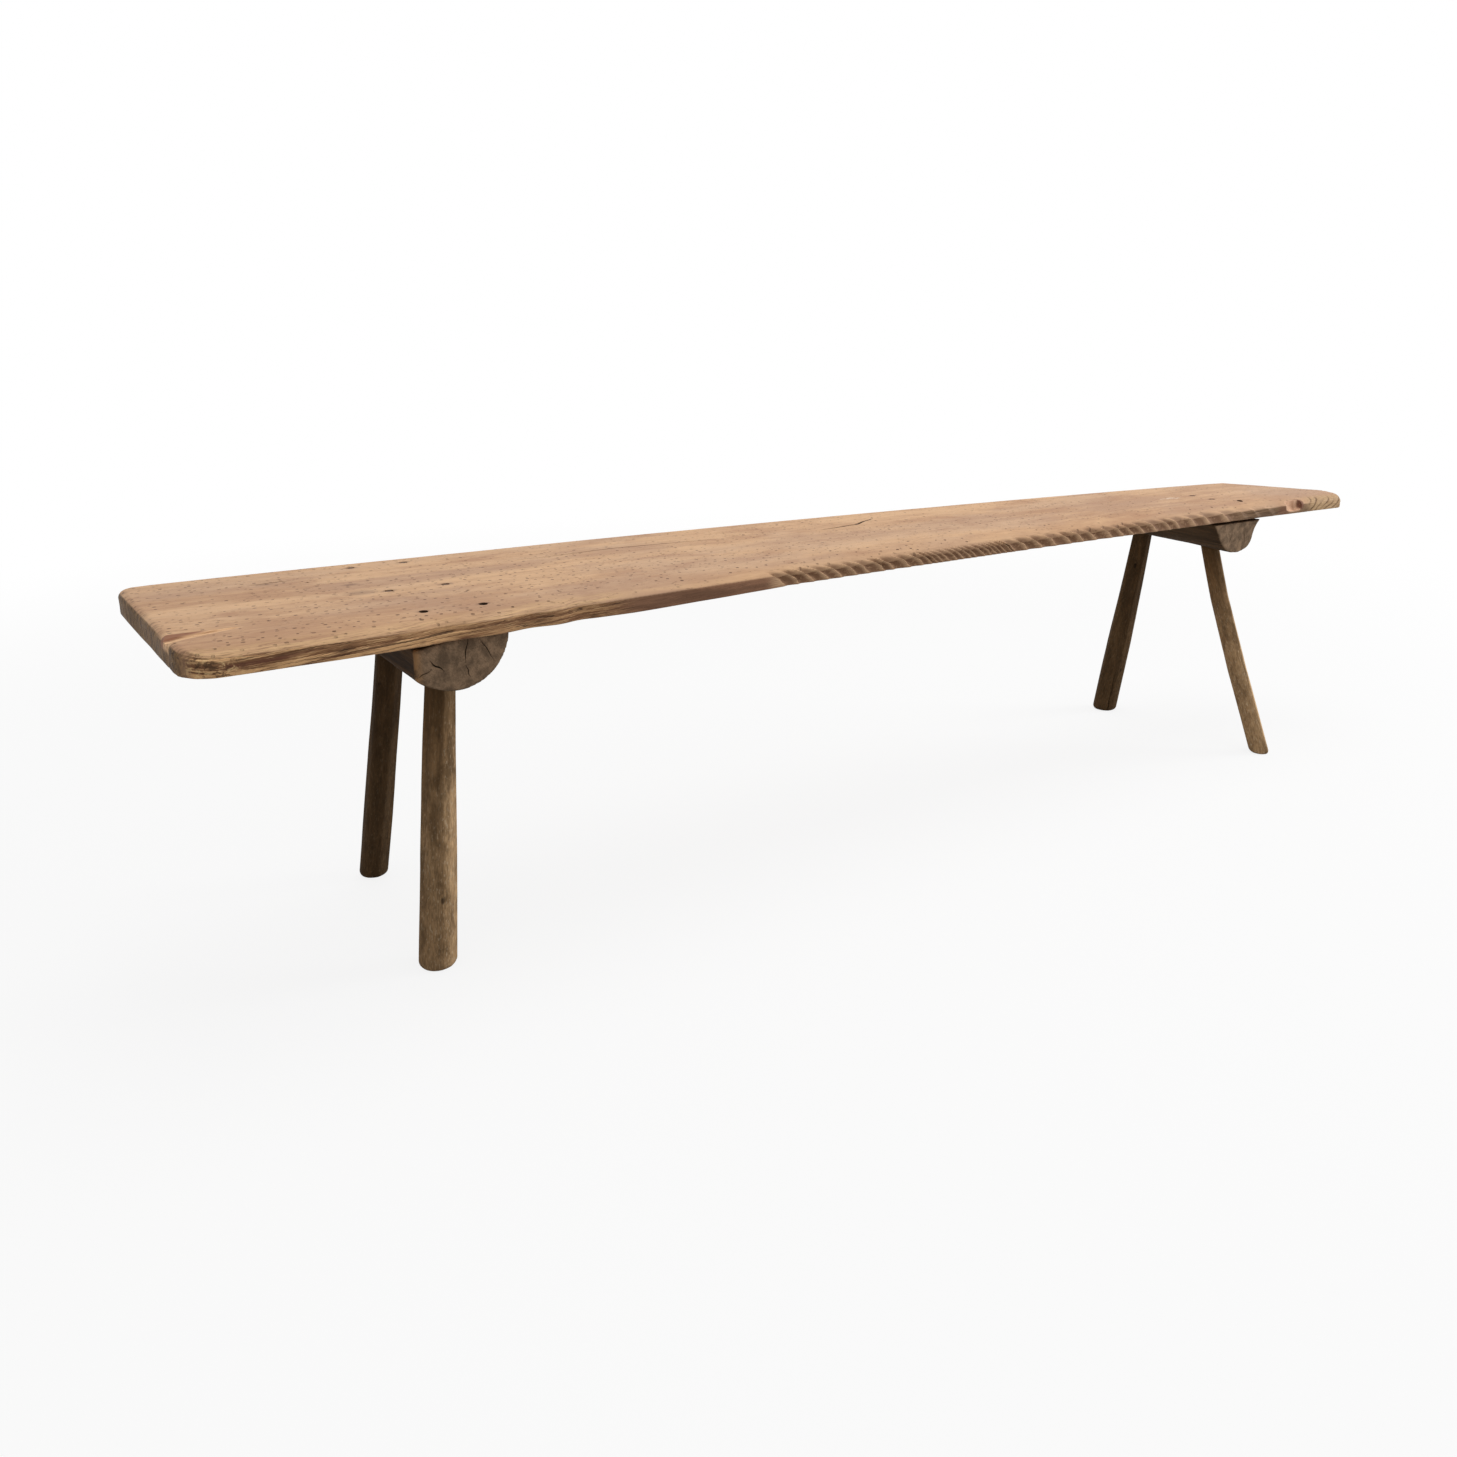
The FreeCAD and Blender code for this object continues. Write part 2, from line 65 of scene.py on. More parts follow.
# How far cutters reach out of the wood
OVERCUT = 0.004
# The least share of its volume that a piece keeps in a cut
CUT_LEAVES = 0.8
SMOOTH_ANGLE = math.radians(38)


# Settings

def count_of(name, about, default, least):
    return IntProperty(name=name, description=about, default=default, min=least)


def number_of(name, about, default, **kind):
    return FloatProperty(name=name, description=about, default=default, **kind)


def length_of(name, about, default):
    return number_of(name, about, default, unit="LENGTH")


def color_of(name, about, default):
    return FloatVectorProperty(name=name, description=about, default=default, subtype="COLOR", size=3)


# Working in edit mode

def only(*items):
    """Select some objects alone and make the first active."""
    bpy.ops.object.select_all(action="DESELECT")
    for item in items:
        item.select_set(True)
    bpy.context.view_layer.objects.active = items[0]


@contextmanager
def editing(item):
    """Edit mode on one object, with nothing selected."""
    only(item)
    bpy.ops.object.mode_set(mode="EDIT")
    bpy.ops.mesh.select_mode(type="VERT")
    bpy.ops.mesh.select_all(action="DESELECT")
    yield
    bpy.ops.object.mode_set(mode="OBJECT")


def select_all():
    bpy.ops.mesh.select_all(action="SELECT")


def pick(item, kind, test):
    """Select only the edges or faces that pass a test, in edit mode."""
    bpy.ops.mesh.select_mode(type=kind)
    mesh = bmesh.from_edit_mesh(item.data)
    for part in (mesh.edges if kind == "EDGE" else mesh.faces):
        part.select_set(test(part))
    bmesh.update_edit_mesh(item.data)


def runs_along(axis):
    """A test for edges along one axis of an unshaped block."""
    def test(edge):
        step = edge.verts[1].co - edge.verts[0].co
        return abs(step[axis]) > 0.99 * step.length
    return test


def extrude(step):
    bpy.ops.mesh.extrude_region_move(TRANSFORM_OT_translate={"value": step})


def slice_level(height, **sides):
    """Cut through everything at a height, in edit mode; the sides say what is cleared and filled."""
    select_all()
    bpy.ops.mesh.bisect(plane_co=(0, 0, height), plane_no=(0, 0, 1), **sides)


# Working on whole objects

def named(name):
    """Name the object that was just added."""
    item = bpy.context.object
    item.name = name
    item.data.name = name
    return item


def vectors_of(item, kind):
    flat = np.zeros(len(item.data.vertices) * 3)
    item.data.vertices.foreach_get(kind, flat)
    return flat.reshape(-1, 3)


def points_of(item):
    return vectors_of(item, "co")


def normals_of(item):
    return vectors_of(item, "normal")


def reshape(item, shape):
    """Move every vertex to where a function of all the places puts it."""
    item.data.vertices.foreach_set("co", np.ascontiguousarray(shape(points_of(item))).ravel())
    item.data.update()


def face_outwards(item):
    with editing(item):
        select_all()
        bpy.ops.mesh.normals_make_consistent(inside=False)


def shaped_bar(name, axis, cuts, shape):
    """A unit cube, cut across one axis and then moved into a shape."""
    bpy.ops.mesh.primitive_cube_add(size=1)
    bar = named(name)
    with editing(bar):
        pick(bar, "EDGE", runs_along(axis))
        bpy.ops.mesh.subdivide(number_cuts=cuts)
    reshape(bar, shape)
    face_outwards(bar)
    return bar


def apply_modifier(item, kind, **settings):
    only(item)
    modifier = item.modifiers.new(kind.title(), kind)
    for key, value in settings.items():
        setattr(modifier, key, value)
    bpy.ops.object.modifier_apply(modifier=modifier.name)


def ease_edges(item, width, degrees):
    """Bevel the edges that are sharper than an angle."""
    angle = math.radians(degrees)
    apply_modifier(item, "BEVEL", width=width, segments=2, limit_method="ANGLE", angle_limit=angle)


def volume_of(item):
    mesh = bmesh.new()
    mesh.from_mesh(item.data)
    volume = mesh.calc_volume(signed=True)
    mesh.free()
    return volume


def carve_away(item, *cutters):
    """Cut joined cutters, which stand clear of each other, out of a piece, and delete them."""
    before = volume_of(item)
    only(*cutters)
    if len(cutters) > 1:
        bpy.ops.object.join()
    tool = cutters[0]
    apply_modifier(item, "BOOLEAN", operation="DIFFERENCE", object=tool, solver="MANIFOLD")
    bpy.data.objects.remove(tool)
    if not CUT_LEAVES * before < volume_of(item) < before:
        raise RuntimeError("a cut into " + item.name + " failed")


def copied(item, name):
    """A copy with a mesh of its own."""
    twin = item.copy()
    twin.data = item.data.copy()
    twin.name = name
    bpy.context.scene.collection.objects.link(twin)
    return twin


def paint(item, **marks):
    """Keep numbers for each vertex, which a finish can read."""
    for name, values in marks.items():
        if name in item.data.attributes:
            item.data.attributes.remove(item.data.attributes[name])
        numbers = np.zeros(len(item.data.vertices), np.float32)
        numbers[:] = values
        item.data.attributes.new(name, "FLOAT", "POINT").data.foreach_set("value", numbers)


def dress(item, finish, slot, *nodes):
    """Give a finished piece its finish and smooth shading, hang it from the root, and hide the solids that it
    stands for.
    """
    item.data.materials.clear()
    item.data.materials.append(finish)
    only(item)
    bpy.ops.object.shade_smooth_by_angle(angle=SMOOTH_ANGLE)
    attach(item, "root")
    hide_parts(*nodes)


# Shapes in numbers

def ripple(places, scales, seed=0.0):
    """Smooth noise from -1 to 1 at places that are scaled along each axis."""
    scaled = places * np.asarray(scales) + seed
    return np.array([noise.noise(place) for place in scaled])


def flat_places(x, y):
    return np.column_stack([x, y, np.zeros_like(x)])


def between(low, high, value):
    """A smooth step from 0 to 1."""
    share = np.clip((value - low) / (high - low), 0, 1)
    return share * share * (3 - 2 * share)


def round_arc(start, control, end, weight, shares):
    """Points on a round arc between two ends, which a control point draws to one side."""
    share = shares[:, None]
    weights = (1 - share) ** 2, 2 * weight * share * (1 - share), share ** 2
    return sum(part * point for part, point in zip(weights, (start, control, end))) / sum(weights)


def along(points, shares):
    """Points at shares of the length of a line through points."""
    steps = np.linalg.norm(np.diff(points, axis=0), axis=1)
    run = np.concatenate([[0], np.cumsum(steps)]) / steps.sum()
    return np.column_stack([np.interp(shares, run, points[:, axis]) for axis in (0, 1)])


# The plank's plan

FRONT_LEFT = (-1.024, -0.186)
WAIST = (-0.264, -0.140)
FRONT_RIGHT = (1.046, -0.137)
BACK_RIGHT = (0.952, 0.072)
BACK_LEFT = (-1.038, 0.172)
CORNER_ROUNDS = {FRONT_LEFT: 0.040, FRONT_RIGHT: 0.016, BACK_RIGHT: 0.014, BACK_LEFT: 0.025}
CORNER_STEPS = 40
EDGE_STEPS = 1600
OUTLINE_STEPS = 5200
FRONT_SWELL = 0.010
FRONT_BOW = 0.012
BACK_BOW = 0.034


def bowed(x, start, end, bow):
    share = (x - start[0]) / (end[0] - start[0])
    return start[1] + (end[1] - start[1]) * share + 4 * bow * share * (1 - share)


def front_edge(x):
    left = bowed(x, FRONT_LEFT, WAIST, -FRONT_SWELL)
    return np.where(x < WAIST[0], left, bowed(x, WAIST, FRONT_RIGHT, FRONT_BOW))


def back_edge(x):
    return bowed(x, BACK_LEFT, BACK_RIGHT, BACK_BOW)


def rounded_corner(before, corner, after, radius):
    """Points on the arc that rounds a corner between two neighbours."""
    before, corner, after = (np.array(point) for point in (before, corner, after))
    inwards = (before - corner) / np.linalg.norm(before - corner)
    onwards = (after - corner) / np.linalg.norm(after - corner)
    half = math.acos(np.clip(inwards @ onwards, -1, 1)) / 2
    reach = radius / math.tan(half)
    shares = np.linspace(0, 1, CORNER_STEPS)
    return round_arc(corner + inwards * reach, corner, corner + onwards * reach, math.sin(half), shares)


def edge_points(edge, start, end):
    x = np.linspace(start, end, EDGE_STEPS)
    return np.column_stack([x, edge(x)])


def plan_sides():
    """The front, right, back and left sides of the plank's outline, split at the middle of each corner."""
    near = 0.05

    def on(edge, corner, step):
        return corner[0] + step, edge(corner[0] + step)

    beside = {
        FRONT_LEFT: (BACK_LEFT, on(front_edge, FRONT_LEFT, near)),
        FRONT_RIGHT: (on(front_edge, FRONT_RIGHT, -near), BACK_RIGHT),
        BACK_RIGHT: (FRONT_RIGHT, on(back_edge, BACK_RIGHT, -near)),
        BACK_LEFT: (on(back_edge, BACK_LEFT, near), FRONT_LEFT),
    }
    arcs = {}
    for corner, (before, after) in beside.items():
        arcs[corner] = rounded_corner(before, corner, after, CORNER_ROUNDS[corner])
    half = CORNER_STEPS // 2
    front = edge_points(front_edge, arcs[FRONT_LEFT][-1][0], arcs[FRONT_RIGHT][0][0])
    back = edge_points(back_edge, arcs[BACK_LEFT][0][0], arcs[BACK_RIGHT][-1][0])
    return (
        np.vstack([arcs[FRONT_LEFT][half:], front[1:-1], arcs[FRONT_RIGHT][:half]]),
        np.vstack([arcs[FRONT_RIGHT][half - 1:], arcs[BACK_RIGHT][:half]]),
        np.vstack([arcs[BACK_LEFT][half - 1::-1], back[1:-1], arcs[BACK_RIGHT][:half - 2:-1]]),
        np.vstack([arcs[FRONT_LEFT][half::-1], arcs[BACK_LEFT][:half - 2:-1]]),
    )


class Plan:
    """The outline of the plank, and the grid that is stretched over it."""

    def __init__(self):
        self.front, self.right, self.back, self.left = plan_sides()
        loop = np.vstack([self.front, self.right[1:], self.back[::-1][1:], self.left[::-1][1:]])
        self.loop = along(loop, np.linspace(0, 1, OUTLINE_STEPS))
        tangents = np.roll(self.loop, -1, 0) - np.roll(self.loop, 1, 0)
        tangents /= np.linalg.norm(tangents, axis=1)[:, None]
        self.inwards = np.column_stack([-tangents[:, 1], tangents[:, 0]])
        self.tree = kdtree.KDTree(len(self.loop))
        for number, (x, y) in enumerate(self.loop):
            self.tree.insert((x, y, 0), number)
        self.tree.balance()

    def stretch(self, u, v):
        """Places in the plan for shares along and across the plank."""
        front, back = along(self.front, u), along(self.back, u)
        left, right = along(self.left, v), along(self.right, v)
        u, v = u[:, None], v[:, None]
        corners = (
            (1 - u) * (1 - v) * self.front[0] + u * (1 - v) * self.front[-1]
            + (1 - u) * v * self.back[0] + u * v * self.back[-1]
        )
        return (1 - v) * front + v * back + (1 - u) * left + u * right - corners

    def nearest(self, places):
        """How far places lie from the outline, and the number of its nearest point."""
        found = [self.tree.find((x, y, 0)) for x, y in places]
        return np.array([hit[2] for hit in found]), np.array([hit[1] for hit in found])


# The plank's worn, torn and hewn front

HEWN_STRETCHES = (
    # start, end, pitch, depth
    (-0.292, -0.010, 0.0245, 0.0060),
    (-0.010, 0.150, 0.0130, 0.0038),
    (0.150, 0.545, 0.0330, 0.0062),
    (0.545, 0.725, 0.0440, 0.0045),
    (0.725, 0.862, 0.0380, 0.0028),
)
HEWN_SEED = 11
# How far down the cuts run, how they lean and curve there and on the top, and how steep their walls are
CUT_REACH = 0.03
CUT_RAKE = 1.5
CUT_CURVE = 17
LIP_RAKE = 1.9
CUT_WAVER = 0.0024
WALL_SHARE = 0.28
TORN_RISE = 0.06
GROOVE_PITCH = 0.0165
GROOVE_RAKE = 1.4


def hewn_ridges():
    """Where the ridges between the axe cuts stand, and how deep each cut after them is."""
    dice = random.Random(HEWN_SEED)
    ridges, depths = [], []
    for start, end, pitch, depth in HEWN_STRETCHES:
        x = start
        while x < end:
            ridges.append(x)
            depths.append(depth * dice.uniform(0.65, 1.2))
            x += pitch * dice.uniform(0.72, 1.28)
    return np.array(ridges), np.array(depths)


RIDGES, CUT_DEPTHS = hewn_ridges()


def hewn_cuts(x, drop):
    """How deep the axe cuts go, and how far into its hollow a place lies.

    A drop counts down the front face from the arris, or below 0 back over the top. Each cut starts almost
    level at the arris and curves down to the right, with a steep wall just after its ridge.
    """
    down = np.clip(drop, 0, CUT_REACH)
    raked = x - CUT_RAKE * down + CUT_CURVE * down ** 2 - LIP_RAKE * np.minimum(drop, 0)
    raked = raked + CUT_WAVER * ripple(flat_places(x, drop), (75, 150, 1), 6.3)
    number = np.clip(np.searchsorted(RIDGES, raked) - 1, 0, len(RIDGES) - 2)
    share = (raked - RIDGES[number]) / (RIDGES[number + 1] - RIDGES[number])
    inside = (share >= 0) & (share <= 1)
    share = np.clip(share, 0, 1)
    slope = 1 - (np.clip(share - WALL_SHARE, 0, 1) / (1 - WALL_SHARE)) ** 1.4
    hollow = np.where(share < WALL_SHARE, (share / WALL_SHARE) ** 0.8, slope)
    hollow = np.where(inside, hollow, 0)
    fade = np.where(drop > 0, 1 - 0.88 * between(0.006, 0.024, drop), 1 - between(0.0, 0.010, -drop))
    return CUT_DEPTHS[number] * hollow * fade, hollow


def torn_share(x):
    """How torn and fibrous the front edge is: fully at the left end, not at all from the waist on."""
    return 1 - between(-0.56, -0.50, x)


def torn_layers(x, drop):
    """How deep the torn fibres lie, from 0 to about 1, in layers that rise slightly to the right."""
    layered = flat_places(x, drop + TORN_RISE * x)
    fibres = np.abs(ripple(layered, (9, 100, 1), 3.1)) + 0.5 * np.abs(ripple(layered, (24, 230, 1), 8.4))
    terraces = between(-0.05, 0.08, ripple(layered, (4.4, 58, 1), 5.7))
    return 0.45 * fibres + 0.65 * terraces


def tip_grooves(x, z):
    """How deep the tears at the narrow tip are, from 0 to 1; they rise to the right."""
    flat = flat_places(x, z)
    raked = x - GROOVE_RAKE * (z - SEAT_UNDERSIDE)
    wave = np.sin(2 * math.pi * raked / GROOVE_PITCH + 4.5 * ripple(flat, (27, 38, 1), 2.6))
    uneven = 0.6 + 0.6 * ripple(flat, (60, 60, 1), 7.2)
    return between(0.918, 0.940, x) * np.clip(wave * 1.3 - 0.3, 0, 1) * uneven


class SeatSettings(bpy.types.PropertyGroup):
    columns: count_of("Columns", "Faces along the plank", 1450, 100)
    front_rows: count_of("Front rows", "Faces across the worn front", 18, 4)
    middle_rows: count_of("Middle rows", "Faces across the sound top", 6, 4)
    back_rows: count_of("Back rows", "Faces across the back edge", 4, 2)
    layers: count_of("Layers", "Faces in the plank's thickness", 17, 2)
    wear_width: length_of("Wear width", "How far in the front is worn", 0.050)
    wear_left: length_of("Wear at left", "Wear at the broad end", 0.005)
    wear_middle: length_of("Wear in middle", "Wear at mid length", 0.013)
    wear_right: length_of("Wear at right", "Wear at the narrow end", 0.011)
    tear: length_of("Tear", "Depth of the torn fibres", 0.0042)
    pale: color_of("Pale wood", "Honey wood of the top", (0.62, 0.385, 0.215))
    tan: color_of("Tan wood", "Rosy tan wood of the top", (0.45, 0.26, 0.152))
    dark: color_of("Dark face", "Dark upright front", (0.225, 0.112, 0.062))


# Shares of the plank's width with rows of their own, and how far in its edges are worn
FRONT_BAND = 0.21
BACK_BAND = 0.045
EDGE_BAND = 0.026
# Round of the lower arris, and the points of the outline over which the rounds blend
LOWER_ROUND = 0.003
ROUNDS_BLEND = 61
# One row of edges in so many is kept where the plank is plain
SPARE_ROWS = 4
DIP_DEPTH = 0.0007
UNEVEN_DEPTH = 0.0007
SWELL_DEPTH = 0.0022
FURROW_DEPTH = 0.0015
GROOVE_DEPTH = 0.0014


def plank_rows(seat):
    """Shares across the plank at which its grid has rows, closest together at the front."""
    return np.concatenate([
        FRONT_BAND * np.linspace(0, 1, seat.front_rows + 1)[:-1] ** 1.45,
        np.linspace(FRONT_BAND, 1 - BACK_BAND, seat.middle_rows + 1)[:-1],
        np.linspace(1 - BACK_BAND, 1, seat.back_rows + 1),
    ])


def plank_columns(seat):
    """Shares along the plank at which its grid has columns, closer together where the front is hewn."""
    shares = np.linspace(0, 1, 400)
    crowding = 1 + 0.7 * between(0.33, 0.36, shares) * (1 - between(0.96, 0.98, shares))
    run = np.concatenate([[0], np.cumsum(crowding[1:])])
    return np.interp(np.linspace(0, 1, seat.columns + 1), run / run[-1], shares)


def arris_rounds(plan):
    """How round the top arris is at each point of the outline."""
    front = np.interp(
        plan.loop[:, 0], (-1.03, -0.62, -0.54, -0.30, 0.72, 0.88, 0.94, 1.04),
        (0.009, 0.008, 0.003, 0.003, 0.003, 0.005, 0.007, 0.009),
    )
    rounds = np.where(plan.inwards[:, 1] > 0.7, front, 0.005)
    rounds = np.where(plan.inwards[:, 0] > 0.5, 0.009, rounds)
    rounds = np.where(plan.inwards[:, 0] < -0.3, 0.007, rounds)
    wrapped = np.concatenate([rounds[-ROUNDS_BLEND:], rounds, rounds[:ROUNDS_BLEND]])
    blended = np.convolve(wrapped, np.ones(ROUNDS_BLEND) / ROUNDS_BLEND, "same")
    return blended[ROUNDS_BLEND:-ROUNDS_BLEND]


def ease(distance, height, radius):
    """Carry the square of an arris, distance in and height from its top, onto a round."""
    across = np.clip((radius - distance) / radius, 0, 1)
    up = np.clip((radius - height) / radius, 0, 1)
    inside = (across > 0) & (up > 0)
    pull = np.maximum(across, up) / np.maximum(np.hypot(across, up), 1e-9)
    eased_distance = np.where(inside, radius * (1 - across * pull), distance)
    eased_height = np.where(inside, radius * (1 - up * pull), height)
    return eased_distance, eased_height


def worn_away(seat, x, y):
    """How far the top is worn down towards the front edge."""
    wear = np.interp(x, (-1.06, 0.0, 1.06), (seat.wear_left, seat.wear_middle, seat.wear_right))
    return wear * np.clip(1 - (y - front_edge(x)) / seat.wear_width, 0, 1) ** 2.1


def carve_plank(seat, plan, block):
    """Where the points of a plain block go on the worn plank, and marks at them for its finish."""
    rows, columns = plank_rows(seat), plank_columns(seat)
    u = columns[np.rint((block[:, 0] + 0.5) * seat.columns).astype(int)]
    v = rows[np.rint((block[:, 1] + 0.5) * (len(rows) - 1)).astype(int)]
    places = plan.stretch(u, v)
    distance, number = plan.nearest(places)
    inwards = plan.inwards[number]
    x, y = places.T
    dip = DIP_DEPTH * (1 + ripple(flat_places(x, y), (2.5, 16, 1)))
    top = SEAT_TOP - worn_away(seat, x, y) - dip
    z = SEAT_UNDERSIDE + block[:, 2] * (top - SEAT_UNDERSIDE)
    below = block[:, 2] < 1e-4
    drop = top - z - distance

    moved, depth = ease(distance, top - z, arris_rounds(plan)[number])
    z = top - depth
    moved, height = ease(moved, z - SEAT_UNDERSIDE, np.full_like(z, LOWER_ROUND))
    z = SEAT_UNDERSIDE + height

    edge = np.clip(1 - distance / EDGE_BAND, 0, 1)
    facing_front = between(0.3, 0.8, inwards[:, 1])
    ends = between(0.5, 0.9, np.abs(inwards[:, 0]))
    layers = torn_layers(x, drop)
    tear = seat.tear * torn_share(x) * facing_front * layers
    swell = between(-0.82, -0.74, x) * (1 - between(-0.58, -0.52, x)) * facing_front
    swell = SWELL_DEPTH * swell * (1 + np.sin(x * 74 + 0.8 * np.sin(x * 31)))
    hewn, hollow = hewn_cuts(x, drop)
    hewn = hewn * facing_front
    grooves = tip_grooves(x, z)
    furrows = FURROW_DEPTH * ends * np.abs(ripple(np.column_stack([y, z, x]), (210, 30, 12), 1.3))
    uneven = UNEVEN_DEPTH * (1 + ripple(np.column_stack([x, distance, z]), (22, 60, 45), 2.2))
    moved = moved + edge * (tear + swell + hewn + furrows + uneven + GROOVE_DEPTH * grooves)
    places = places + inwards * (moved - distance)[:, None]
    above = (1 - between(0.0, 0.008, drop)) * (1 - between(0.010, 0.022, distance)) * ~below
    z = z - above * (0.7 * hewn + 0.55 * tear + 0.5 * furrows)

    shown = np.where(below, 1 - between(0.0, 0.005, distance), 1)
    side = between(-0.0015, 0.0025, drop) * shown
    marks = {
        "front": side * facing_front,
        "end": side * ends * (1 - facing_front),
        "torn": torn_share(x) * facing_front,
        # The tear and hollow marks also carry painted shade: the finish darkens deep torn fibres, the hollows
        # of the axe cuts and the tear grooves at the tip.
        "tear": layers,
        "hollow": np.maximum(hollow * facing_front, grooves) * shown,
        "drop": drop * 1000,
        "rim": (1 - between(0.004, 0.024, distance)) * facing_front * (1 - side) * shown,
        "verge": (1 - between(0.003, 0.013, distance)) * ends * ~below,
    }
    return np.column_stack([places, z]), marks


def plank_block(seat):
    """A block of even faces: a grid, extruded once and cut through its thickness."""
    rows = len(plank_rows(seat)) - 1
    bpy.ops.mesh.primitive_grid_add(x_subdivisions=seat.columns, y_subdivisions=rows, size=1)
    block = named("plank")

    def spare(edge):
        """Whether the underside or the back can do without an edge."""
        row = round((edge.verts[0].co.y + 0.5) * rows)
        layer = round(edge.verts[0].co.z * seat.layers)
        underneath = layer == 0 and row % SPARE_ROWS and 2 < row < rows - 2
        behind = row == rows and layer % SPARE_ROWS and 0 < layer < seat.layers
        return (underneath or behind) and runs_along(0)(edge)

    with editing(block):
        select_all()
        extrude((0, 0, 1))
        bpy.ops.mesh.select_all(action="DESELECT")
        pick(block, "EDGE", runs_along(2))
        bpy.ops.mesh.subdivide(number_cuts=seat.layers - 1)
        bpy.ops.mesh.select_all(action="DESELECT")
        pick(block, "EDGE", spare)
        bpy.ops.mesh.dissolve_edges(use_verts=True)
    face_outwards(block)
    return block


# Cutters for cracks, chips and nail holes

CRACKS = (
    # points along the crack, width, depth
    (
        ((-0.562, 0.0764), (-0.495, 0.0797), (-0.399, 0.0855), (-0.321, 0.0785), (-0.240, 0.0712)),
        0.0032, 0.006,
    ),
    (
        ((-0.068, 0.0510), (-0.025, 0.0590), (0.009, 0.0635), (0.042, 0.0817), (0.072, 0.0965)),
        0.0060, 0.010,
    ),
    (((-0.900, 0.1020), (-0.872, 0.1045), (-0.846, 0.1052)), 0.0034, 0.007),
)
NAILS = {
    "left": [(x, y) for y in (0.144, -0.015, -0.136) for x in (-0.763, -0.693)],
    "right": [(0.740, -0.016), (0.734, -0.062), (0.766, -0.097)],
}
FRONT_NAIL_SINK = 0.003
NAIL_MOUTH = SimpleNamespace(radius=0.0056, depth=0.0035, sides=9)
OLD_HOLES = ((-0.682, -0.061), (0.672, -0.107), (-0.833, 0.083))
OLD_HOLE = SimpleNamespace(radius=0.0022, depth=0.012, sides=7)
CHIP = (0.884, float(front_edge(0.884)) + 0.001, 0.4480)
CHIP_RADII = (0.0225, 0.0105, 0.0125)
CHIP_POWER = 0.62
SPLINTER = (-1.040, -0.1170), (-0.944, -0.1020)
SPLINTER_HEIGHTS = (0.4836, 0.4603)
SPLINTER_RADII = (0.0315, 0.0004)


def nail_top(x, y):
    """How high a nail's head reaches."""
    return SEAT_TOP - (FRONT_NAIL_SINK if y - front_edge(x) < 0.05 else 0.0)


def blade(points, width, depth):
    """A wedge-shaped blade along a crack, thin at both ends and at its foot."""
    points = np.array(points, float)

    def shape(block):
        share = block[:, 0] + 0.5
        ahead = along(points, np.clip(share + 0.02, 0, 1)) - along(points, np.clip(share - 0.02, 0, 1))
        ahead /= np.linalg.norm(ahead, axis=1)[:, None]
        swell = np.sin(np.pi * np.clip(share, 0.01, 0.99)) ** 0.42
        wander = 0.12 * width * np.sin(share * 19) * swell
        above = block[:, 2] > 0
        reach = block[:, 1] * width * swell * np.where(above, 1.3, 0.1)
        side = np.column_stack([-ahead[:, 1], ahead[:, 0]])
        flat = along(points, share) + side * (reach + wander)[:, None]
        z = np.where(above, SEAT_TOP + 0.002, SEAT_TOP - 0.0015 - depth * swell)
        return np.column_stack([flat, z])

    return shaped_bar("crack", 0, 40, shape)


def chip_cutter():
    """A rough, boxy ball that breaks the chip out of the front edge near the tip."""
    bpy.ops.mesh.primitive_ico_sphere_add(subdivisions=4, radius=1)
    tool = named("chip")

    def shape(ball):
        boxy = np.sign(ball) * np.abs(ball) ** CHIP_POWER
        rough = 1 + 0.09 * ripple(ball, (2.6, 2.6, 2.6), 1.7)
        return np.array(CHIP) + boxy * CHIP_RADII * rough[:, None]

    reshape(tool, shape)
    return tool


def splinter_cutter():
    """A long cone that lifts a splinter out of the left end of the top."""
    mouth, tip = (Vector((*place, height)) for place, height in zip(SPLINTER, SPLINTER_HEIGHTS))
    broad, narrow = SPLINTER_RADII
    turn = Vector((0, 0, 1)).rotation_difference(tip - mouth).to_matrix().to_4x4()
    bpy.ops.mesh.primitive_cone_add(vertices=64, radius1=broad, radius2=narrow, depth=(tip - mouth).length)
    tool = named("splinter_cutter")
    with editing(tool):
        pick(tool, "EDGE", lambda edge: abs(edge.verts[0].co.z - edge.verts[1].co.z) > 0.01)
        bpy.ops.mesh.subdivide(number_cuts=24)

    def shape(cone):
        angle = np.arctan2(cone[:, 1], cone[:, 0])
        ridges = 1 + 0.035 * np.sin(angle * 15 + 1.5) + 0.02 * np.sin(angle * 31)
        ridges = ridges + 0.02 * np.sin(cone[:, 2] * 210)
        return np.column_stack([cone[:, 0] * ridges, cone[:, 1] * ridges, cone[:, 2]])

    reshape(tool, shape)
    tool.data.transform(Matrix.Translation((mouth + tip) / 2) @ turn)
    return tool


def hole_cutter(name, hole, x, y, top, turn=0.0):
    """A stub that opens an uneven round hole down from the top."""
    low, high = top - hole.depth, SEAT_TOP + OVERCUT
    bpy.ops.mesh.primitive_cylinder_add(
        vertices=hole.sides, radius=hole.radius, depth=high - low, rotation=(0, 0, turn),
    )
    tool = named(name)
    bpy.ops.object.transform_apply(location=True, rotation=True, scale=True)

    def shape(stub):
        uneven = 1 + 0.12 * ripple(stub, (260, 260, 0), x * 90)
        stub = np.column_stack([stub[:, 0] * uneven, stub[:, 1] * uneven, stub[:, 2]])
        return stub + (x, y, (low + high) / 2)

    reshape(tool, shape)
    return tool


def seat_cutters():
    cutters = [blade(*crack) for crack in CRACKS]
    cutters += [splinter_cutter(), chip_cutter()]
    for places in NAILS.values():
        for number, (x, y) in enumerate(places):
            cutters.append(hole_cutter("nail_mouth", NAIL_MOUTH, x, y, nail_top(x, y), number))
    cutters += [hole_cutter("old_hole", OLD_HOLE, x, y, SEAT_TOP) for x, y in OLD_HOLES]
    return cutters


# Finishes

WHITE = (1, 1, 1, 1)


def shaded(color, share):
    """A colour made lighter or darker."""
    return [share * part for part in color]


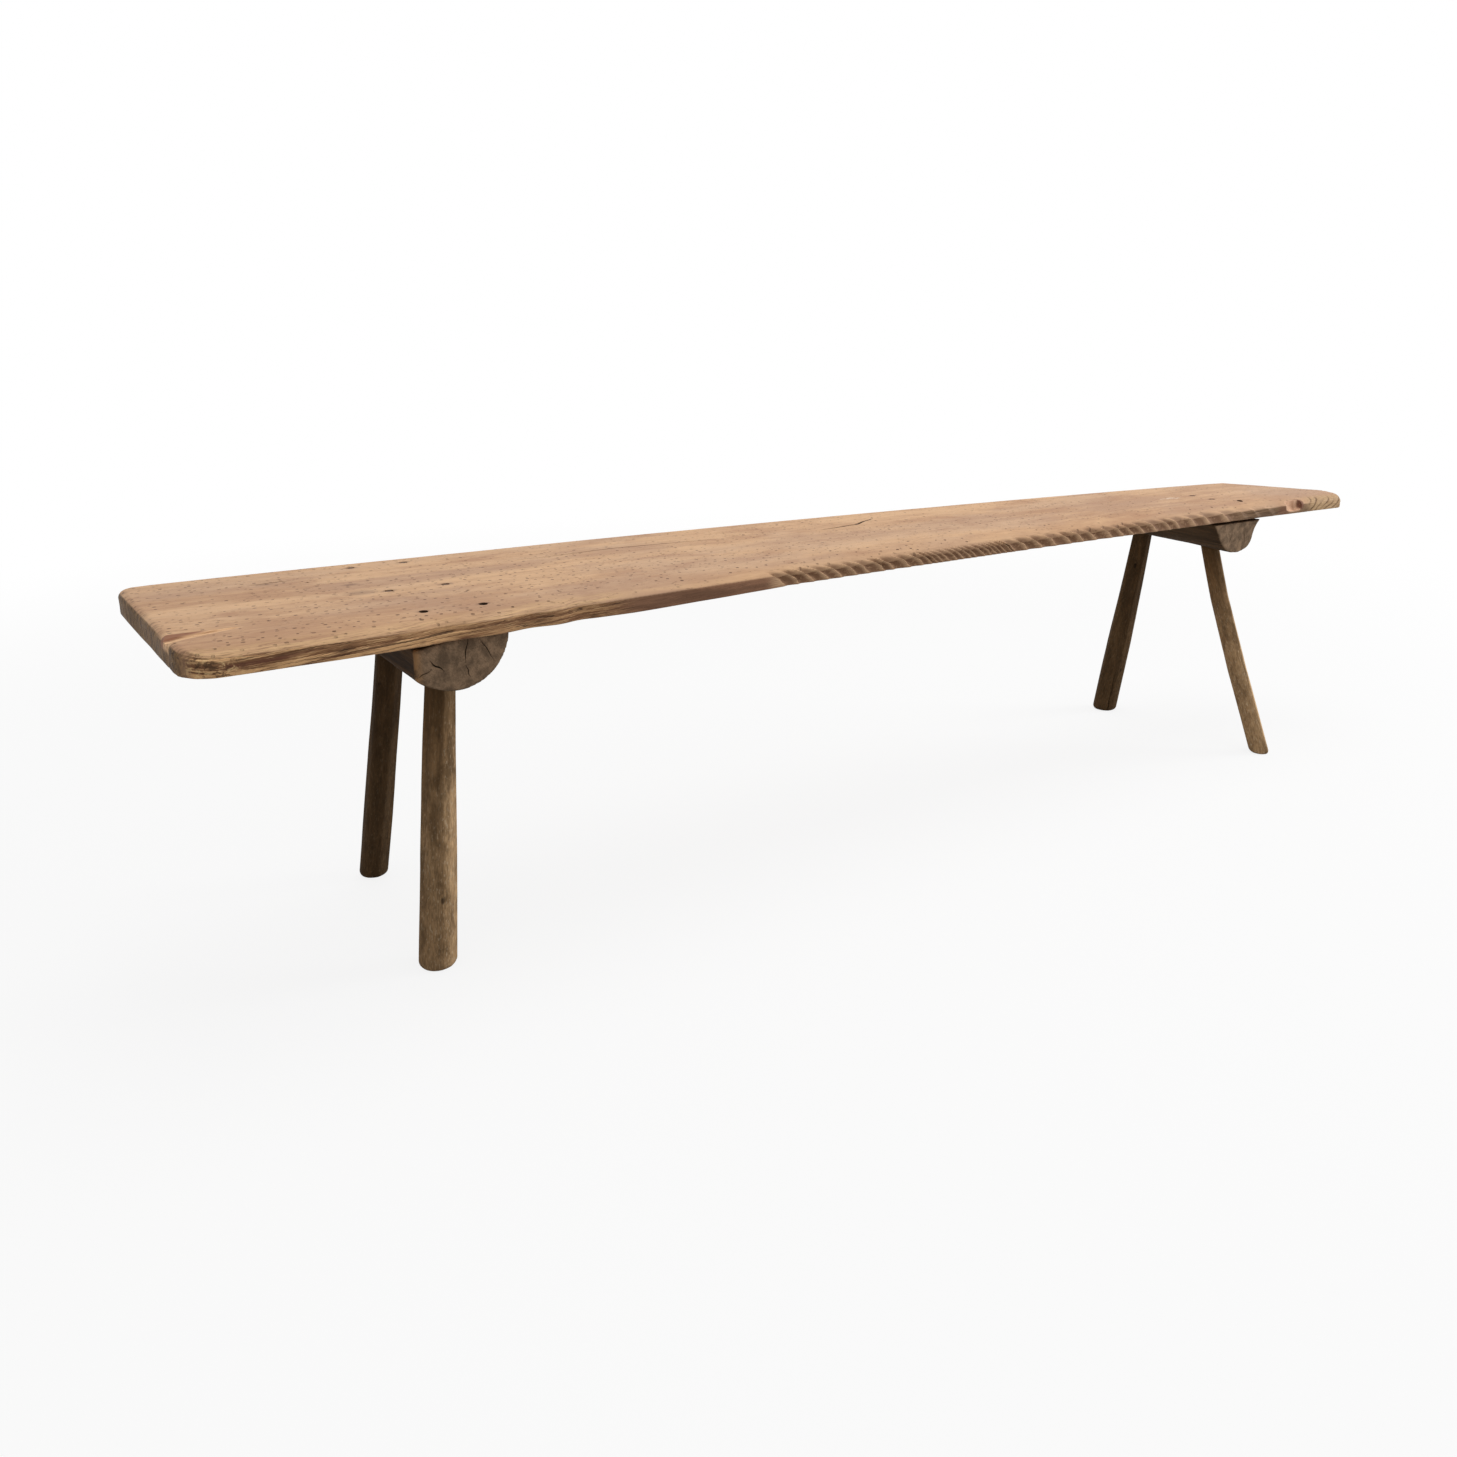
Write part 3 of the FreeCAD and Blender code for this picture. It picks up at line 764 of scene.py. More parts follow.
def arithmetic(operation, swapped=False):
    """A method of a tone that makes a node of arithmetic."""
    def method(self, *other):
        values = (*other, self) if swapped else (self, *other)
        return self.finish.math(operation, *values)
    return method


class Tone:
    """A number in a finish's nodes that takes part in plain arithmetic."""

    def __init__(self, finish, socket):
        self.finish = finish
        self.socket = socket

    __add__ = __radd__ = arithmetic("ADD")
    __mul__ = __rmul__ = arithmetic("MULTIPLY")
    __sub__ = arithmetic("SUBTRACT")
    __rsub__ = arithmetic("SUBTRACT", swapped=True)
    __truediv__ = arithmetic("DIVIDE")
    __pow__ = arithmetic("POWER")
    __abs__ = arithmetic("ABSOLUTE")


class Finish:
    """The nodes of one material, or of the world."""

    def __init__(self, owner):
        self.owner = owner
        owner.use_nodes = True
        self.tree = owner.node_tree
        self.tree.nodes.clear()

    def node(self, kind, inputs=None, output=0, **settings):
        """Any node, with the values or links of its sockets and with its settings."""
        made = self.tree.nodes.new(kind)
        for key, value in settings.items():
            setattr(made, key, value)
        for key, value in (inputs or {}).items():
            if isinstance(value, Tone):
                self.tree.links.new(value.socket, made.inputs[key])
            else:
                made.inputs[key].default_value = value
        return Tone(self, made.outputs[output]) if output is not None else made

    def math(self, operation, *values):
        return self.node("ShaderNodeMath", dict(enumerate(values)), operation=operation)

    def larger(self, first, second):
        return self.math("MAXIMUM", first, second)

    def step(self, value, low, high):
        """A smooth step from 0 at low to 1 at high, or down where low is the larger."""
        start, end = (0.0, 1.0) if low < high else (1.0, 0.0)
        sockets = {"Value": value, "From Min": min(low, high), "From Max": max(low, high)}
        sockets.update({"To Min": start, "To Max": end})
        return self.node("ShaderNodeMapRange", sockets, interpolation_type="SMOOTHSTEP")

    def mix(self, share, first, second, blend="MIX"):
        """A colour between two others."""
        first, second = (
            color if isinstance(color, Tone) else (*color, 1.0) for color in (first, second)
        )
        sockets = {0: share, 6: first, 7: second}
        return self.node("ShaderNodeMix", sockets, 2, data_type="RGBA", blend_type=blend)

    def layered(self, color, *layers):
        """A colour with others over it: how much each covers, and its colour."""
        for share, over in layers:
            color = self.mix(share, color, over)
        return color

    def toned(self, color, tone):
        """A colour times a number."""
        return self.mix(1.0, color, self.joined(tone, tone, tone), "MULTIPLY")

    def place(self):
        return self.node("ShaderNodeTexCoord", output="Object")

    def painted(self, *names):
        """Numbers that are kept at the vertices."""
        return [self.node("ShaderNodeAttribute", output="Fac", attribute_name=name) for name in names]

    def stretched(self, vector, scale, shift=(0, 0, 0)):
        return self.node("ShaderNodeMapping", {"Vector": vector, "Scale": scale, "Location": shift})

    def axes(self, vector):
        split = self.node("ShaderNodeSeparateXYZ", {0: vector}, None)
        return [Tone(self, socket) for socket in split.outputs]

    def joined(self, x, y, z):
        return self.node("ShaderNodeCombineXYZ", {0: x, 1: y, 2: z})

    def cloud(self, vector, detail=2.0, roughness=0.5, distortion=0.0):
        """Noise around 0.5."""
        sockets = {"Vector": vector, "Scale": 1.0, "Detail": detail}
        sockets.update({"Roughness": roughness, "Distortion": distortion})
        return self.node("ShaderNodeTexNoise", sockets)

    def grain(self, vector, scale, *character, shift=(0, 0, 0)):
        """Noise at places that are scaled along each axis, with the character of a cloud."""
        return self.cloud(self.stretched(vector, scale, shift), *character)

    def cells(self, vector, scale, output="Distance", dimensions="2D"):
        sockets = {"Vector": vector, "Scale": scale}
        return self.node("ShaderNodeTexVoronoi", sockets, output, voronoi_dimensions=dimensions, feature="F1")

    def apart(self, vector, point, stretch=(1, 1, 1)):
        """How far a place lies from a point, on axes that may be stretched."""
        moved = self.node("ShaderNodeVectorMath", {0: vector, 1: point}, operation="SUBTRACT")
        scaled = self.node("ShaderNodeVectorMath", {0: moved, 1: stretch}, operation="MULTIPLY")
        return self.node("ShaderNodeVectorMath", {0: scaled}, "Value", operation="LENGTH")

    def surface(self, color, roughness, height, relief, specular=0.5, metallic=0.0):
        """The finished surface; relief is the height of the bump in metres."""
        bump = {"Height": height, "Distance": relief, "Strength": 1.0}
        sockets = {
            "Base Color": color, "Roughness": roughness, "Metallic": metallic, "Specular IOR Level": specular,
            "Normal": self.node("ShaderNodeBump", bump, "Normal"),
        }
        shader = self.node("ShaderNodeBsdfPrincipled", sockets, "BSDF")
        self.node("ShaderNodeOutputMaterial", {"Surface": shader}, None)
        return self.owner


# The seat's finish

WORM_CELLS = 88.0
NAIL_STAIN = SimpleNamespace(radius=0.0105, strength=0.8)
HOLE_STAIN = SimpleNamespace(radius=0.006, strength=0.8)
STAINS = (
    # place, radius, strength
    ((-0.793, -0.008), 0.020, 0.45),
    ((-0.792, 0.043), 0.011, 0.55),
    ((-0.879, 0.098), 0.012, 0.4),
)
SCRATCHED = (0.671, -0.019, SEAT_TOP)


class SeatWood(Finish):
    """The seat's finish, with the places, marks and noises that its parts share."""

    def __init__(self):
        super().__init__(bpy.data.materials.new("seat_timber"))
        self.at = self.place()
        self.x, self.y, self.z = self.axes(self.at)
        self.front, self.end, self.torn, self.tear = self.painted("front", "end", "torn", "tear")
        self.hollow, self.drop, self.rim, self.verge = self.painted("hollow", "drop", "rim", "verge")
        waver = self.grain(self.at, (2.2, 6, 6))
        bent = self.joined(self.x, self.y + waver * 0.05, self.z)
        broad = self.grain(bent, (1.5, 10, 10), 3.0, 0.55)
        self.blotch = self.grain(self.at, (9, 20, 20), 5.0, 0.65, 0.4)
        self.streak = self.grain(bent, (3.4, 62, 62), 5.0, 0.62, 0.4)
        self.fibre = self.grain(bent, (34, 480, 480), 3.0, 0.6)
        self.pitted = self.grain(self.at, (150, 150, 210), 3.0, 0.62, 0.5)
        self.end_grain = self.grain(self.at, (40, 330, 45), 4.0, 0.65, 0.3)
        speck = self.grain(self.at, (110, 300, 300), 2.0, 0.6, shift=(2, 1, 0))
        self.dashes = self.step(speck, 0.63, 0.71)
        self.honey = self.step(broad * 0.42 + self.blotch * 0.40 + self.streak * 0.18, 0.40, 0.60)
        self.corner = self.step(self.x, -0.950, -0.985)
        self.rising = self.drop + self.x * (1000 * TORN_RISE)
        self.strands = self.cloud(self.joined(self.x * 11.0, self.rising * 0.17, 0.0), 4.0, 0.66, 0.9)
        self.fine = self.cloud(self.joined(self.x * 42.0, self.rising * 0.75, 0.0), 3.0, 0.6, 0.4)


def worm_holes(wood):
    """Worm holes in the top, fewer to the right, and how dark each is: dark discs of painted shade, deeper
    ones darker.
    """
    step = wood.step
    place = wood.stretched(wood.at, (0.72, 1.0, 1.0))
    crowd = step(wood.grain(wood.at, (5, 12, 1), shift=(1, 7, 0)), 0.40, 0.64)
    chance, size, depth = wood.axes(wood.cells(place, WORM_CELLS, "Color"))
    holes = step(wood.cells(place, WORM_CELLS) - size * 0.07, 0.095, 0.050)
    holes = holes * step(chance + crowd * 0.46 - wood.x * 0.17, 0.76, 0.80) * step(wood.drop, -0.5, -2.5)
    holes = holes * step(wood.z, 0.434, 0.438) * step(size - step(wood.x, 0.0, 0.6) * 0.5, -0.02, 0.02)
    return holes, depth


def nail_stains(wood):
    """Dark stains around nails and old holes, and a few more."""
    spots = [(spot, NAIL_STAIN.radius, NAIL_STAIN.strength) for places in NAILS.values() for spot in places]
    spots += [(spot, HOLE_STAIN.radius, HOLE_STAIN.strength) for spot in OLD_HOLES]
    stain = 0.0
    for (x, y), radius, strength in (*spots, *STAINS):
        near = wood.apart(wood.at, (x, y, SEAT_TOP), (0.55, 1, 0.6))
        spot = wood.step(near + wood.streak * 0.006, radius, radius * 0.3) * strength
        stain = wood.larger(stain, spot)
    return stain


def top_color(wood, seat, holes, hole_depth):
    """The sound top: honey streaks on rosy tan, grey patches, dark dashes, worm holes and stains."""
    step = wood.step
    grey = step(wood.grain(wood.at, (3.2, 8, 8), 4.0, 0.6, shift=(5, 0, 0)), 0.46, 0.64)
    scratches = step(wood.apart(wood.at, SCRATCHED, (0.5, 1.6, 1)), 0.016, 0.010)
    scratches = scratches * step(wood.grain(wood.at, (70, 330, 1), 1.0), 0.52, 0.60)
    return wood.layered(
        seat.tan,
        (wood.honey, seat.pale),
        (step(wood.streak, 0.48, 0.28) * 0.22, (0.33, 0.18, 0.105)),
        (step(wood.fibre, 0.54, 0.32) * 0.22, (0.30, 0.165, 0.095)),
        (step(wood.fibre, 0.55, 0.72) * 0.16, (0.78, 0.54, 0.34)),
        (grey * 0.32 + step(wood.x, 0.55, 0.95) * 0.22, (0.43, 0.29, 0.21)),
        (step(wood.blotch, 0.44, 0.30) * 0.35, (0.40, 0.215, 0.125)),
        (wood.dashes * 0.5, (0.17, 0.083, 0.047)),
        # Worm holes painted as dark discs of painted shade, darker for deeper holes
        (holes * (0.40 + hole_depth * 0.5), (0.085, 0.038, 0.020)),
        (nail_stains(wood), (0.12, 0.062, 0.043)),
        (scratches * 0.8, (0.80, 0.68, 0.54)),
    )


def torn_color(wood):
    """The torn front: pale and dark fibres, painted shade where the tears lie deep, splits, a red streak and
    a pitted corner.
    """
    step, x = wood.step, wood.x
    lines = wood.cloud(wood.joined(x * 6.0, wood.rising * 0.17, 4.0), 3.0, 0.6, 0.6)
    from_streak = abs(wood.drop - 12.2 + (x + 0.955) * 65.0 + (wood.strands - 0.5) * 7.0)
    red_streak = step(from_streak + (x + 0.978) * 30.0, 4.6, 2.4)
    red_streak = red_streak * step(x, -0.990, -0.976) * step(x, -0.865, -0.90)
    return wood.layered(
        (0.15, 0.068, 0.031),
        (step(wood.strands, 0.40, 0.58), (0.56, 0.325, 0.155)),
        # Painted shade where the torn fibres lie deep
        (step(wood.tear, 0.40, 0.80) * 0.4, (0.17, 0.077, 0.036)),
        (step(wood.fine, 0.47, 0.33) * 0.6, (0.085, 0.037, 0.016)),
        (step(wood.fine, 0.56, 0.67) * 0.55, (0.70, 0.46, 0.235)),
        (step(abs(lines - 0.5), 0.020, 0.006) * 0.8, (0.035, 0.015, 0.007)),
        (red_streak * 0.8, (0.125, 0.047, 0.026)),
        (wood.corner * step(wood.pitted, 0.46, 0.38) * 0.7, (0.66, 0.455, 0.225)),
        (wood.corner * step(wood.pitted, 0.53, 0.62) * 0.75, (0.055, 0.027, 0.012)),
    )


def front_color(wood, seat, color):
    """The front face over the top's colour: torn at the left, then smooth, then hewn, with painted shade in
    the hollows of the axe cuts and on the lip above them.
    """
    step = wood.step
    hewn = step(wood.x, -0.31, -0.28)
    sound = step(wood.x, 0.68, 0.76)
    smooth_wood = wood.layered(
        shaded(seat.dark, 0.62),
        (step(wood.streak, 0.35, 0.62), seat.dark),
        (step(wood.fine, 0.52, 0.40) * 0.35, (0.085, 0.038, 0.020)),
    )
    sound_wood = wood.mix(step(wood.strands, 0.40, 0.58), (0.092, 0.048, 0.023), (0.208, 0.122, 0.064))
    hewn_wood = wood.layered(
        (0.44, 0.275, 0.16),
        # Painted shade in the hollows of the axe cuts
        (step(wood.hollow, 0.03, 0.65), (0.185, 0.096, 0.050)),
        (step(wood.fine, 0.54, 0.36) * 0.4, (0.12, 0.06, 0.031)),
        (step(wood.pitted, 0.53, 0.64) * 0.45, (0.42, 0.255, 0.145)),
        (step(wood.drop, 12.0, 20.0) * 0.5, (0.22, 0.122, 0.066)),
        (sound, sound_wood),
    )
    # Painted shade on the top just above each axe cut, where its hollow bites into the arris
    lip_shade = hewn * (1.0 - sound) * (1.0 - wood.front)
    lip_shade = lip_shade * step(wood.hollow, 0.12, 0.7) * step(wood.drop, -11.0, -3.0)
    worn_edge = wood.rim * (0.35 + 0.65 * step(wood.streak, 0.35, 0.6)) * (1.0 - lip_shade)
    frayed = wood.rim * wood.torn
    return wood.layered(
        color,
        (wood.front, wood.layered(smooth_wood, (hewn, hewn_wood), (wood.torn, torn_color(wood)))),
        (lip_shade * 0.7, (0.24, 0.135, 0.075)),
        (worn_edge * 0.45, (0.62, 0.39, 0.215)),
        (frayed * step(wood.strands, 0.44, 0.58) * 0.6, (0.68, 0.445, 0.23)),
        (frayed * step(wood.fine, 0.47, 0.36) * 0.6, (0.17, 0.083, 0.040)),
    )


def ends_color(wood, color):
    """The torn tip with painted shade in its tear grooves, the end grain and the ticks along its verge."""
    step = wood.step
    tip = step(wood.x, 0.915, 0.945) * wood.larger(wood.larger(wood.front, wood.end), wood.rim)
    tip_wood = wood.layered(
        (0.36, 0.225, 0.115),
        (step(wood.fine, 0.40, 0.62), (0.50, 0.335, 0.185)),
        # Painted shade in the tear grooves at the tip
        (step(wood.hollow, 0.10, 0.65) * 0.9, (0.15, 0.083, 0.038)),
    )
    pits = wood.corner * step(wood.pitted, 0.53, 0.62) * step(wood.y, -0.11, -0.15)
    end_wood = wood.layered(
        (0.038, 0.020, 0.008),
        (step(wood.end_grain, 0.38, 0.62), (0.255, 0.150, 0.068)),
        (pits * 0.8, (0.030, 0.016, 0.008)),
    )
    ticks = step(wood.grain(wood.at, (28, 420, 40), 2.0, 0.6, shift=(3, 0, 0)), 0.50, 0.62)
    return wood.layered(
        color,
        (tip * 0.92, tip_wood),
        (wood.end * (1.0 - tip), end_wood),
        (wood.verge * ticks * (1.0 - tip) * 0.6, (0.17, 0.095, 0.055)),
    )


def splinter_color(wood, color):
    """The fresh wood where the splinter is gone, with painted shade on the far wall of its groove."""
    step = wood.step
    (mouth_x, mouth_y), (point_x, point_y) = SPLINTER
    length = math.hypot(point_x - mouth_x, point_y - mouth_y)
    cos, sin = (point_x - mouth_x) / length, (point_y - mouth_y) / length
    reach = (wood.x - mouth_x) * cos + (wood.y - mouth_y) * sin
    across = (wood.y - mouth_y) * cos - (wood.x - mouth_x) * sin
    half_width = 0.0205 - reach * (0.0195 / length)
    inside = step(abs(across) - half_width, 0.0012, -0.0008) * step(reach, length, length * 0.9)
    # Painted shade on the far wall of the splinter's groove
    far_wall_shade = step(across, 0.0040, 0.0085) * step(reach, length * 0.80, length * 0.45)
    lines = step(wood.cloud(wood.joined(reach * 9.0, across * 260.0, 0.0), 2.0, 0.6), 0.54, 0.62)
    fresh_wood = wood.layered(
        (0.55, 0.315, 0.165),
        (step(wood.fibre, 0.4, 0.6), (0.80, 0.52, 0.30)),
        (far_wall_shade, (0.28, 0.128, 0.074)),
        (lines * 0.55, (0.27, 0.125, 0.066)),
    )
    return wood.mix(inside * step(wood.z, 0.445, 0.451) * 0.95, color, fresh_wood)


def chip_color(wood, color):
    """The broken wood in the chip, with painted shade on its right wall and its right rim, and darker wood on
    the front to its left.
    """
    step = wood.step
    x, y, z = (
        (axis - middle) / radius for axis, middle, radius in zip((wood.x, wood.y, wood.z), CHIP, CHIP_RADII)
    )
    power = 2 / CHIP_POWER
    shell = abs(x) ** power + abs(y) ** power + abs(z) ** power
    broken_wood = wood.layered(
        (0.46, 0.26, 0.16),
        (step(wood.fine, 0.4, 0.6), (0.64, 0.40, 0.26)),
        # Painted shade on the chip's right wall
        (step(x, 0.74, 0.92), (0.17, 0.072, 0.042)),
    )
    return wood.layered(
        color,
        # Painted shade along the chip's right rim; below, darker wood on the front to its left
        (step(shell, 2.8, 1.6) * step(x + z * 0.5, 0.3, 0.9) * 0.85, (0.17, 0.075, 0.045)),
        (step(shell, 14.0, 3.0) * step(x, -0.5, -1.0) * wood.front * 0.6, (0.17, 0.072, 0.042)),
        (step(shell, 1.7, 1.25), broken_wood),
    )


def seat_finish(seat):
    """Worn, rosy tan wood with honey streaks, worm holes, nail stains and a darker hewn front, and painted
    shade in its cracks, holes and hollows.
    """
    wood = SeatWood()
    holes, hole_depth = worm_holes(wood)
    color = top_color(wood, seat, holes, hole_depth)
    color = front_color(wood, seat, color)
    color = ends_color(wood, color)
    color = splinter_color(wood, color)
    color = chip_color(wood, color)
    # Painted shade: the insides of the cracks and holes are painted almost black.
    deep = wood.step(*wood.painted("deep"), 0.0, 0.16)
    color = wood.mix(deep * 0.95, color, (0.022, 0.011, 0.006))
    roughness = 0.62 + (1.0 - wood.honey) * 0.12 + wood.front * 0.1
    height = wood.fibre * 0.35 + wood.streak * 0.4 - holes * 1.2 - wood.dashes * 0.35
    height = height + wood.front * (wood.strands * 1.6 + wood.fine * 0.9) * (0.35 + wood.torn * 0.65)
    height = height + wood.end * wood.end_grain * 1.5
    return wood.surface(color, roughness, height, 0.0011, specular=0.18)


def crevice_shade_share(seat, plan, places):
    """How deep places lie inside cracks and holes, from 0 to 1; the finish paints them dark as painted shade.
    """
    x, y, z = places.T
    sunk = between(0.0025, 0.0050, SEAT_TOP - worn_away(seat, x, y) - z)
    sunk = sunk * between(0.0, 0.002, z - SEAT_UNDERSIDE)
    inner = np.flatnonzero(sunk)
    sunk[inner] *= between(0.026, 0.031, plan.nearest(places[inner, :2])[0])
    open_hollow = (np.hypot(x - SPLINTER[0][0], y - SPLINTER[0][1]) < 0.12) | (x > CHIP[0] - 0.05)
    return np.where(open_hollow, 0, sunk)


class BENCH_OT_seat(bpy.types.Operator):
    """Model the worn seat plank and give it its wood finish"""
    bl_idname = "bench.seat"
    bl_label = "Seat Plank"

    def execute(self, context):
        seat = context.scene.bench_seat
        plan = Plan()
        plank = plank_block(seat)
        places, marks = carve_plank(seat, plan, points_of(plank))
        reshape(plank, lambda block: places)
        paint(plank, **marks)
        carve_away(plank, *seat_cutters())
        if not all(name in plank.data.attributes for name in marks):
            raise RuntimeError("the cuts lost the marks of the plank")
        # The deep mark is painted shade for the cracks and holes.
        paint(plank, deep=crevice_shade_share(seat, plan, points_of(plank)))
        dress(plank, seat_finish(seat), "seat_timber", "seat_plank")
        return {"FINISHED"}


# Bearers

class BearerSettings(bpy.types.PropertyGroup):
    voxel: length_of("Face size", "Size of the faces of a bearer", 0.0024)
    uneven: length_of("Unevenness", "Depth of the axe marks", 0.0014)
    end_color: color_of("End grain", "Grey-brown end grain", (0.150, 0.098, 0.060))
    flank_color: color_of("Flanks", "Dark brown flanks", (0.040, 0.022, 0.010))


def arc_points(start, end, bulge, steps=14):
    """Points from start to end along an arc that stands off to the right of the way by a bulge."""
    start, end = np.array(start, float), np.array(end, float)
    step = end - start
    side = np.array([step[1], -step[0]]) / np.linalg.norm(step)
    turn = 2 * math.atan(2 * bulge / np.linalg.norm(step))
    control = (start + end) / 2 + side * (np.linalg.norm(step) / 2 * math.tan(turn))
    return round_arc(start, control, end, math.cos(turn), np.linspace(0, 1, steps, endpoint=False))


def straight_points(start, end, steps=8):
    share = np.linspace(0, 1, steps, endpoint=False)[:, None]
    return np.array(start) * (1 - share) + np.array(end) * share


def level_bulge(run, rise):
    """How far an arc that starts out level stands off its chord."""
    chord = math.hypot(run, rise)
    return chord * (chord - run) / (2 * rise)


def left_section():
    shoulder, flank, keel = (-0.057, -0.007), (-0.057, -0.043), (-0.010, -0.062)
    right, crown = (0.057, 0.0), (-0.005, 0.0)
    return np.vstack([
        straight_points(shoulder, flank),
        arc_points(flank, keel, level_bulge(0.047, 0.019)),
        arc_points(keel, right, level_bulge(0.067, 0.062)),
        straight_points(right, crown),
        straight_points(crown, shoulder),
    ])


def right_section():
    left, sole_left, keel = (-0.073, 0.0), (-0.046, -0.036), (0.002, -0.060)
    low_right, sole_right, right = (0.032, -0.0545), (0.047, -0.036), (0.073, 0.0)
    return np.vstack([
        straight_points(left, sole_left),
        arc_points(sole_left, keel, 0.0065),
        arc_points(keel, low_right, 0.0022, 8),
        arc_points(low_right, sole_right, 0.003, 8),
        arc_points(sole_right, right, -0.006),
        straight_points(right, left, 16),
    ])


BEARERS = {
    # relief: run and depth of the slope on the flat side at the front
    # checks: start and end of each in the end grain, from the middle of the flat side, and its width
    "left": SimpleNamespace(
        x=-0.729, front=-0.1602, length=0.304, depth=0.062, section=left_section, heart=(-0.010, 0.004),
        tone=1.0, worn=1.0, relief=None, back_rise=None,
        checks=(
            ((0.006, -0.001), (0.001, -0.030), 0.0016),
            ((-0.040, -0.022), (-0.024, -0.036), 0.0020),
            ((-0.056, -0.040), (-0.038, -0.032), 0.0012),
            ((0.020, -0.004), (0.036, -0.032), 0.0010),
            ((0.002, -0.033), (0.006, -0.047), 0.0012),
        ),
    ),
    "right": SimpleNamespace(
        x=0.741, front=-0.1193, length=0.232, depth=0.060, section=right_section, heart=(0.010, 0.030),
        tone=1.08, worn=0.0, relief=(0.070, 0.005), back_rise=0.12,
        checks=(
            ((-0.014, -0.014), (-0.020, -0.040), 0.0010),
            ((0.018, -0.018), (0.024, -0.044), 0.0009),
        ),
    ),
}
BEARER_GAP = 0.0004
BEARER_EASE = 0.0022
CHECK_DEPTH = 0.012
BORE_LENGTH = 0.2


def bearer_blank(name, bearer):
    """The section of a half log, extruded and eased."""
    section = bearer.section()
    bpy.ops.mesh.primitive_circle_add(vertices=len(section), radius=1, fill_type="NGON")
    log = named(name)
    height = SEAT_UNDERSIDE - BEARER_GAP
    front = np.full(len(section), bearer.front)
    reshape(log, lambda ring: np.column_stack([section[:, 0] + bearer.x, front, section[:, 1] + height]))
    with editing(log):
        select_all()
        extrude((0, bearer.length, 0))
        if bearer.relief:
            run, depth = bearer.relief
            select_all()
            bpy.ops.mesh.bisect(
                plane_co=(bearer.x, bearer.front + run, height), plane_no=(0, -depth, run),
                use_fill=True, clear_outer=True,
            )
    face_outwards(log)
    ease_edges(log, BEARER_EASE, 40)
    return log


def check_cutter(bearer, start, finish, width):
    """A wedge driven into the end grain."""
    start, finish = np.array(start), np.array(finish)
    side = np.array([-(finish - start)[1], (finish - start)[0]]) / np.linalg.norm(finish - start)

    def shape(block):
        share = block[:, 0] + 0.5
        swell = np.sin(np.pi * np.clip(share, 0.03, 0.97)) ** 0.7
        outside = block[:, 1] < 0
        wander = width * 0.45 * np.sin(share * 8 + width * 4e3)
        reach = block[:, 2] * width * swell * np.where(outside, 1.2, 0.1) + wander
        flat = start * (1 - share)[:, None] + finish * share[:, None] + side * reach[:, None]
        y = bearer.front + np.where(outside, -OVERCUT, CHECK_DEPTH * swell)
        return np.column_stack([flat[:, 0] + bearer.x, y, flat[:, 1] + SEAT_UNDERSIDE])

    return shaped_bar("check", 0, 16, shape)


def bearer_finish(look):
    """Split, weathered wood: grey end grain with rings, and dark flanks with long grain."""
    wood = Finish(bpy.data.materials.new("bearer_timber"))
    step = wood.step
    place = wood.place()
    end, rings, turn, worn, tone = wood.painted("end", "rings", "turn", "worn", "tone")
    wobble = wood.grain(place, (30, 30, 30))
    ring_lines = wood.cloud(wood.joined(rings * 0.42 + wobble * 1.1, turn * 0.7, 0.0), 3.0, 0.6)
    rays = wood.cloud(wood.joined(turn * 26.0, rings * 0.05, 2.0), 2.0, 0.6)
    pores = wood.grain(place, (700, 90, 700), 2.0, 0.6)
    saw = wood.grain(place, (260, 20, 40), 3.0, 0.55, shift=(3, 0, 0))
    dust = wood.grain(place, (60, 20, 60), 5.0, 0.68, 0.4, shift=(1, 0, 2))
    light, dark = shaded(look.end_color, 1.75), shaded(look.end_color, 0.48)
    end_wood = wood.layered(
        dark,
        (step(dust, 0.34, 0.66), light),
        (0.35, look.end_color),
        (step(ring_lines, 0.46, 0.34) * 0.22, dark),
        (step(rays, 0.60, 0.74) * 0.22, dark),
        (step(pores, 0.56, 0.70) * 0.45, dark),
        (step(pores, 0.40, 0.30) * 0.30, light),
        (step(saw, 0.58, 0.74) * 0.25, light),
    )
    grain = wood.grain(place, (170, 5, 170), 5.0, 0.65, 0.3)
    patches = wood.grain(place, (14, 7, 14))
    color = wood.layered(
        shaded(look.flank_color, 0.55),
        (step(grain, 0.34, 0.66), shaded(look.flank_color, 1.6)),
        (step(patches, 0.5, 0.75) * 0.35, (0.085, 0.052, 0.028)),
        (end, wood.toned(end_wood, tone)),
        (worn * step(dust, 0.30, 0.56) * 0.9, (0.27, 0.15, 0.068)),
    )
    height = end * (ring_lines * 0.5 + pores * 0.4 + rays * 0.3) + (1.0 - end) * grain
    return wood.surface(color, 0.82, height, 0.0012, specular=0.08)


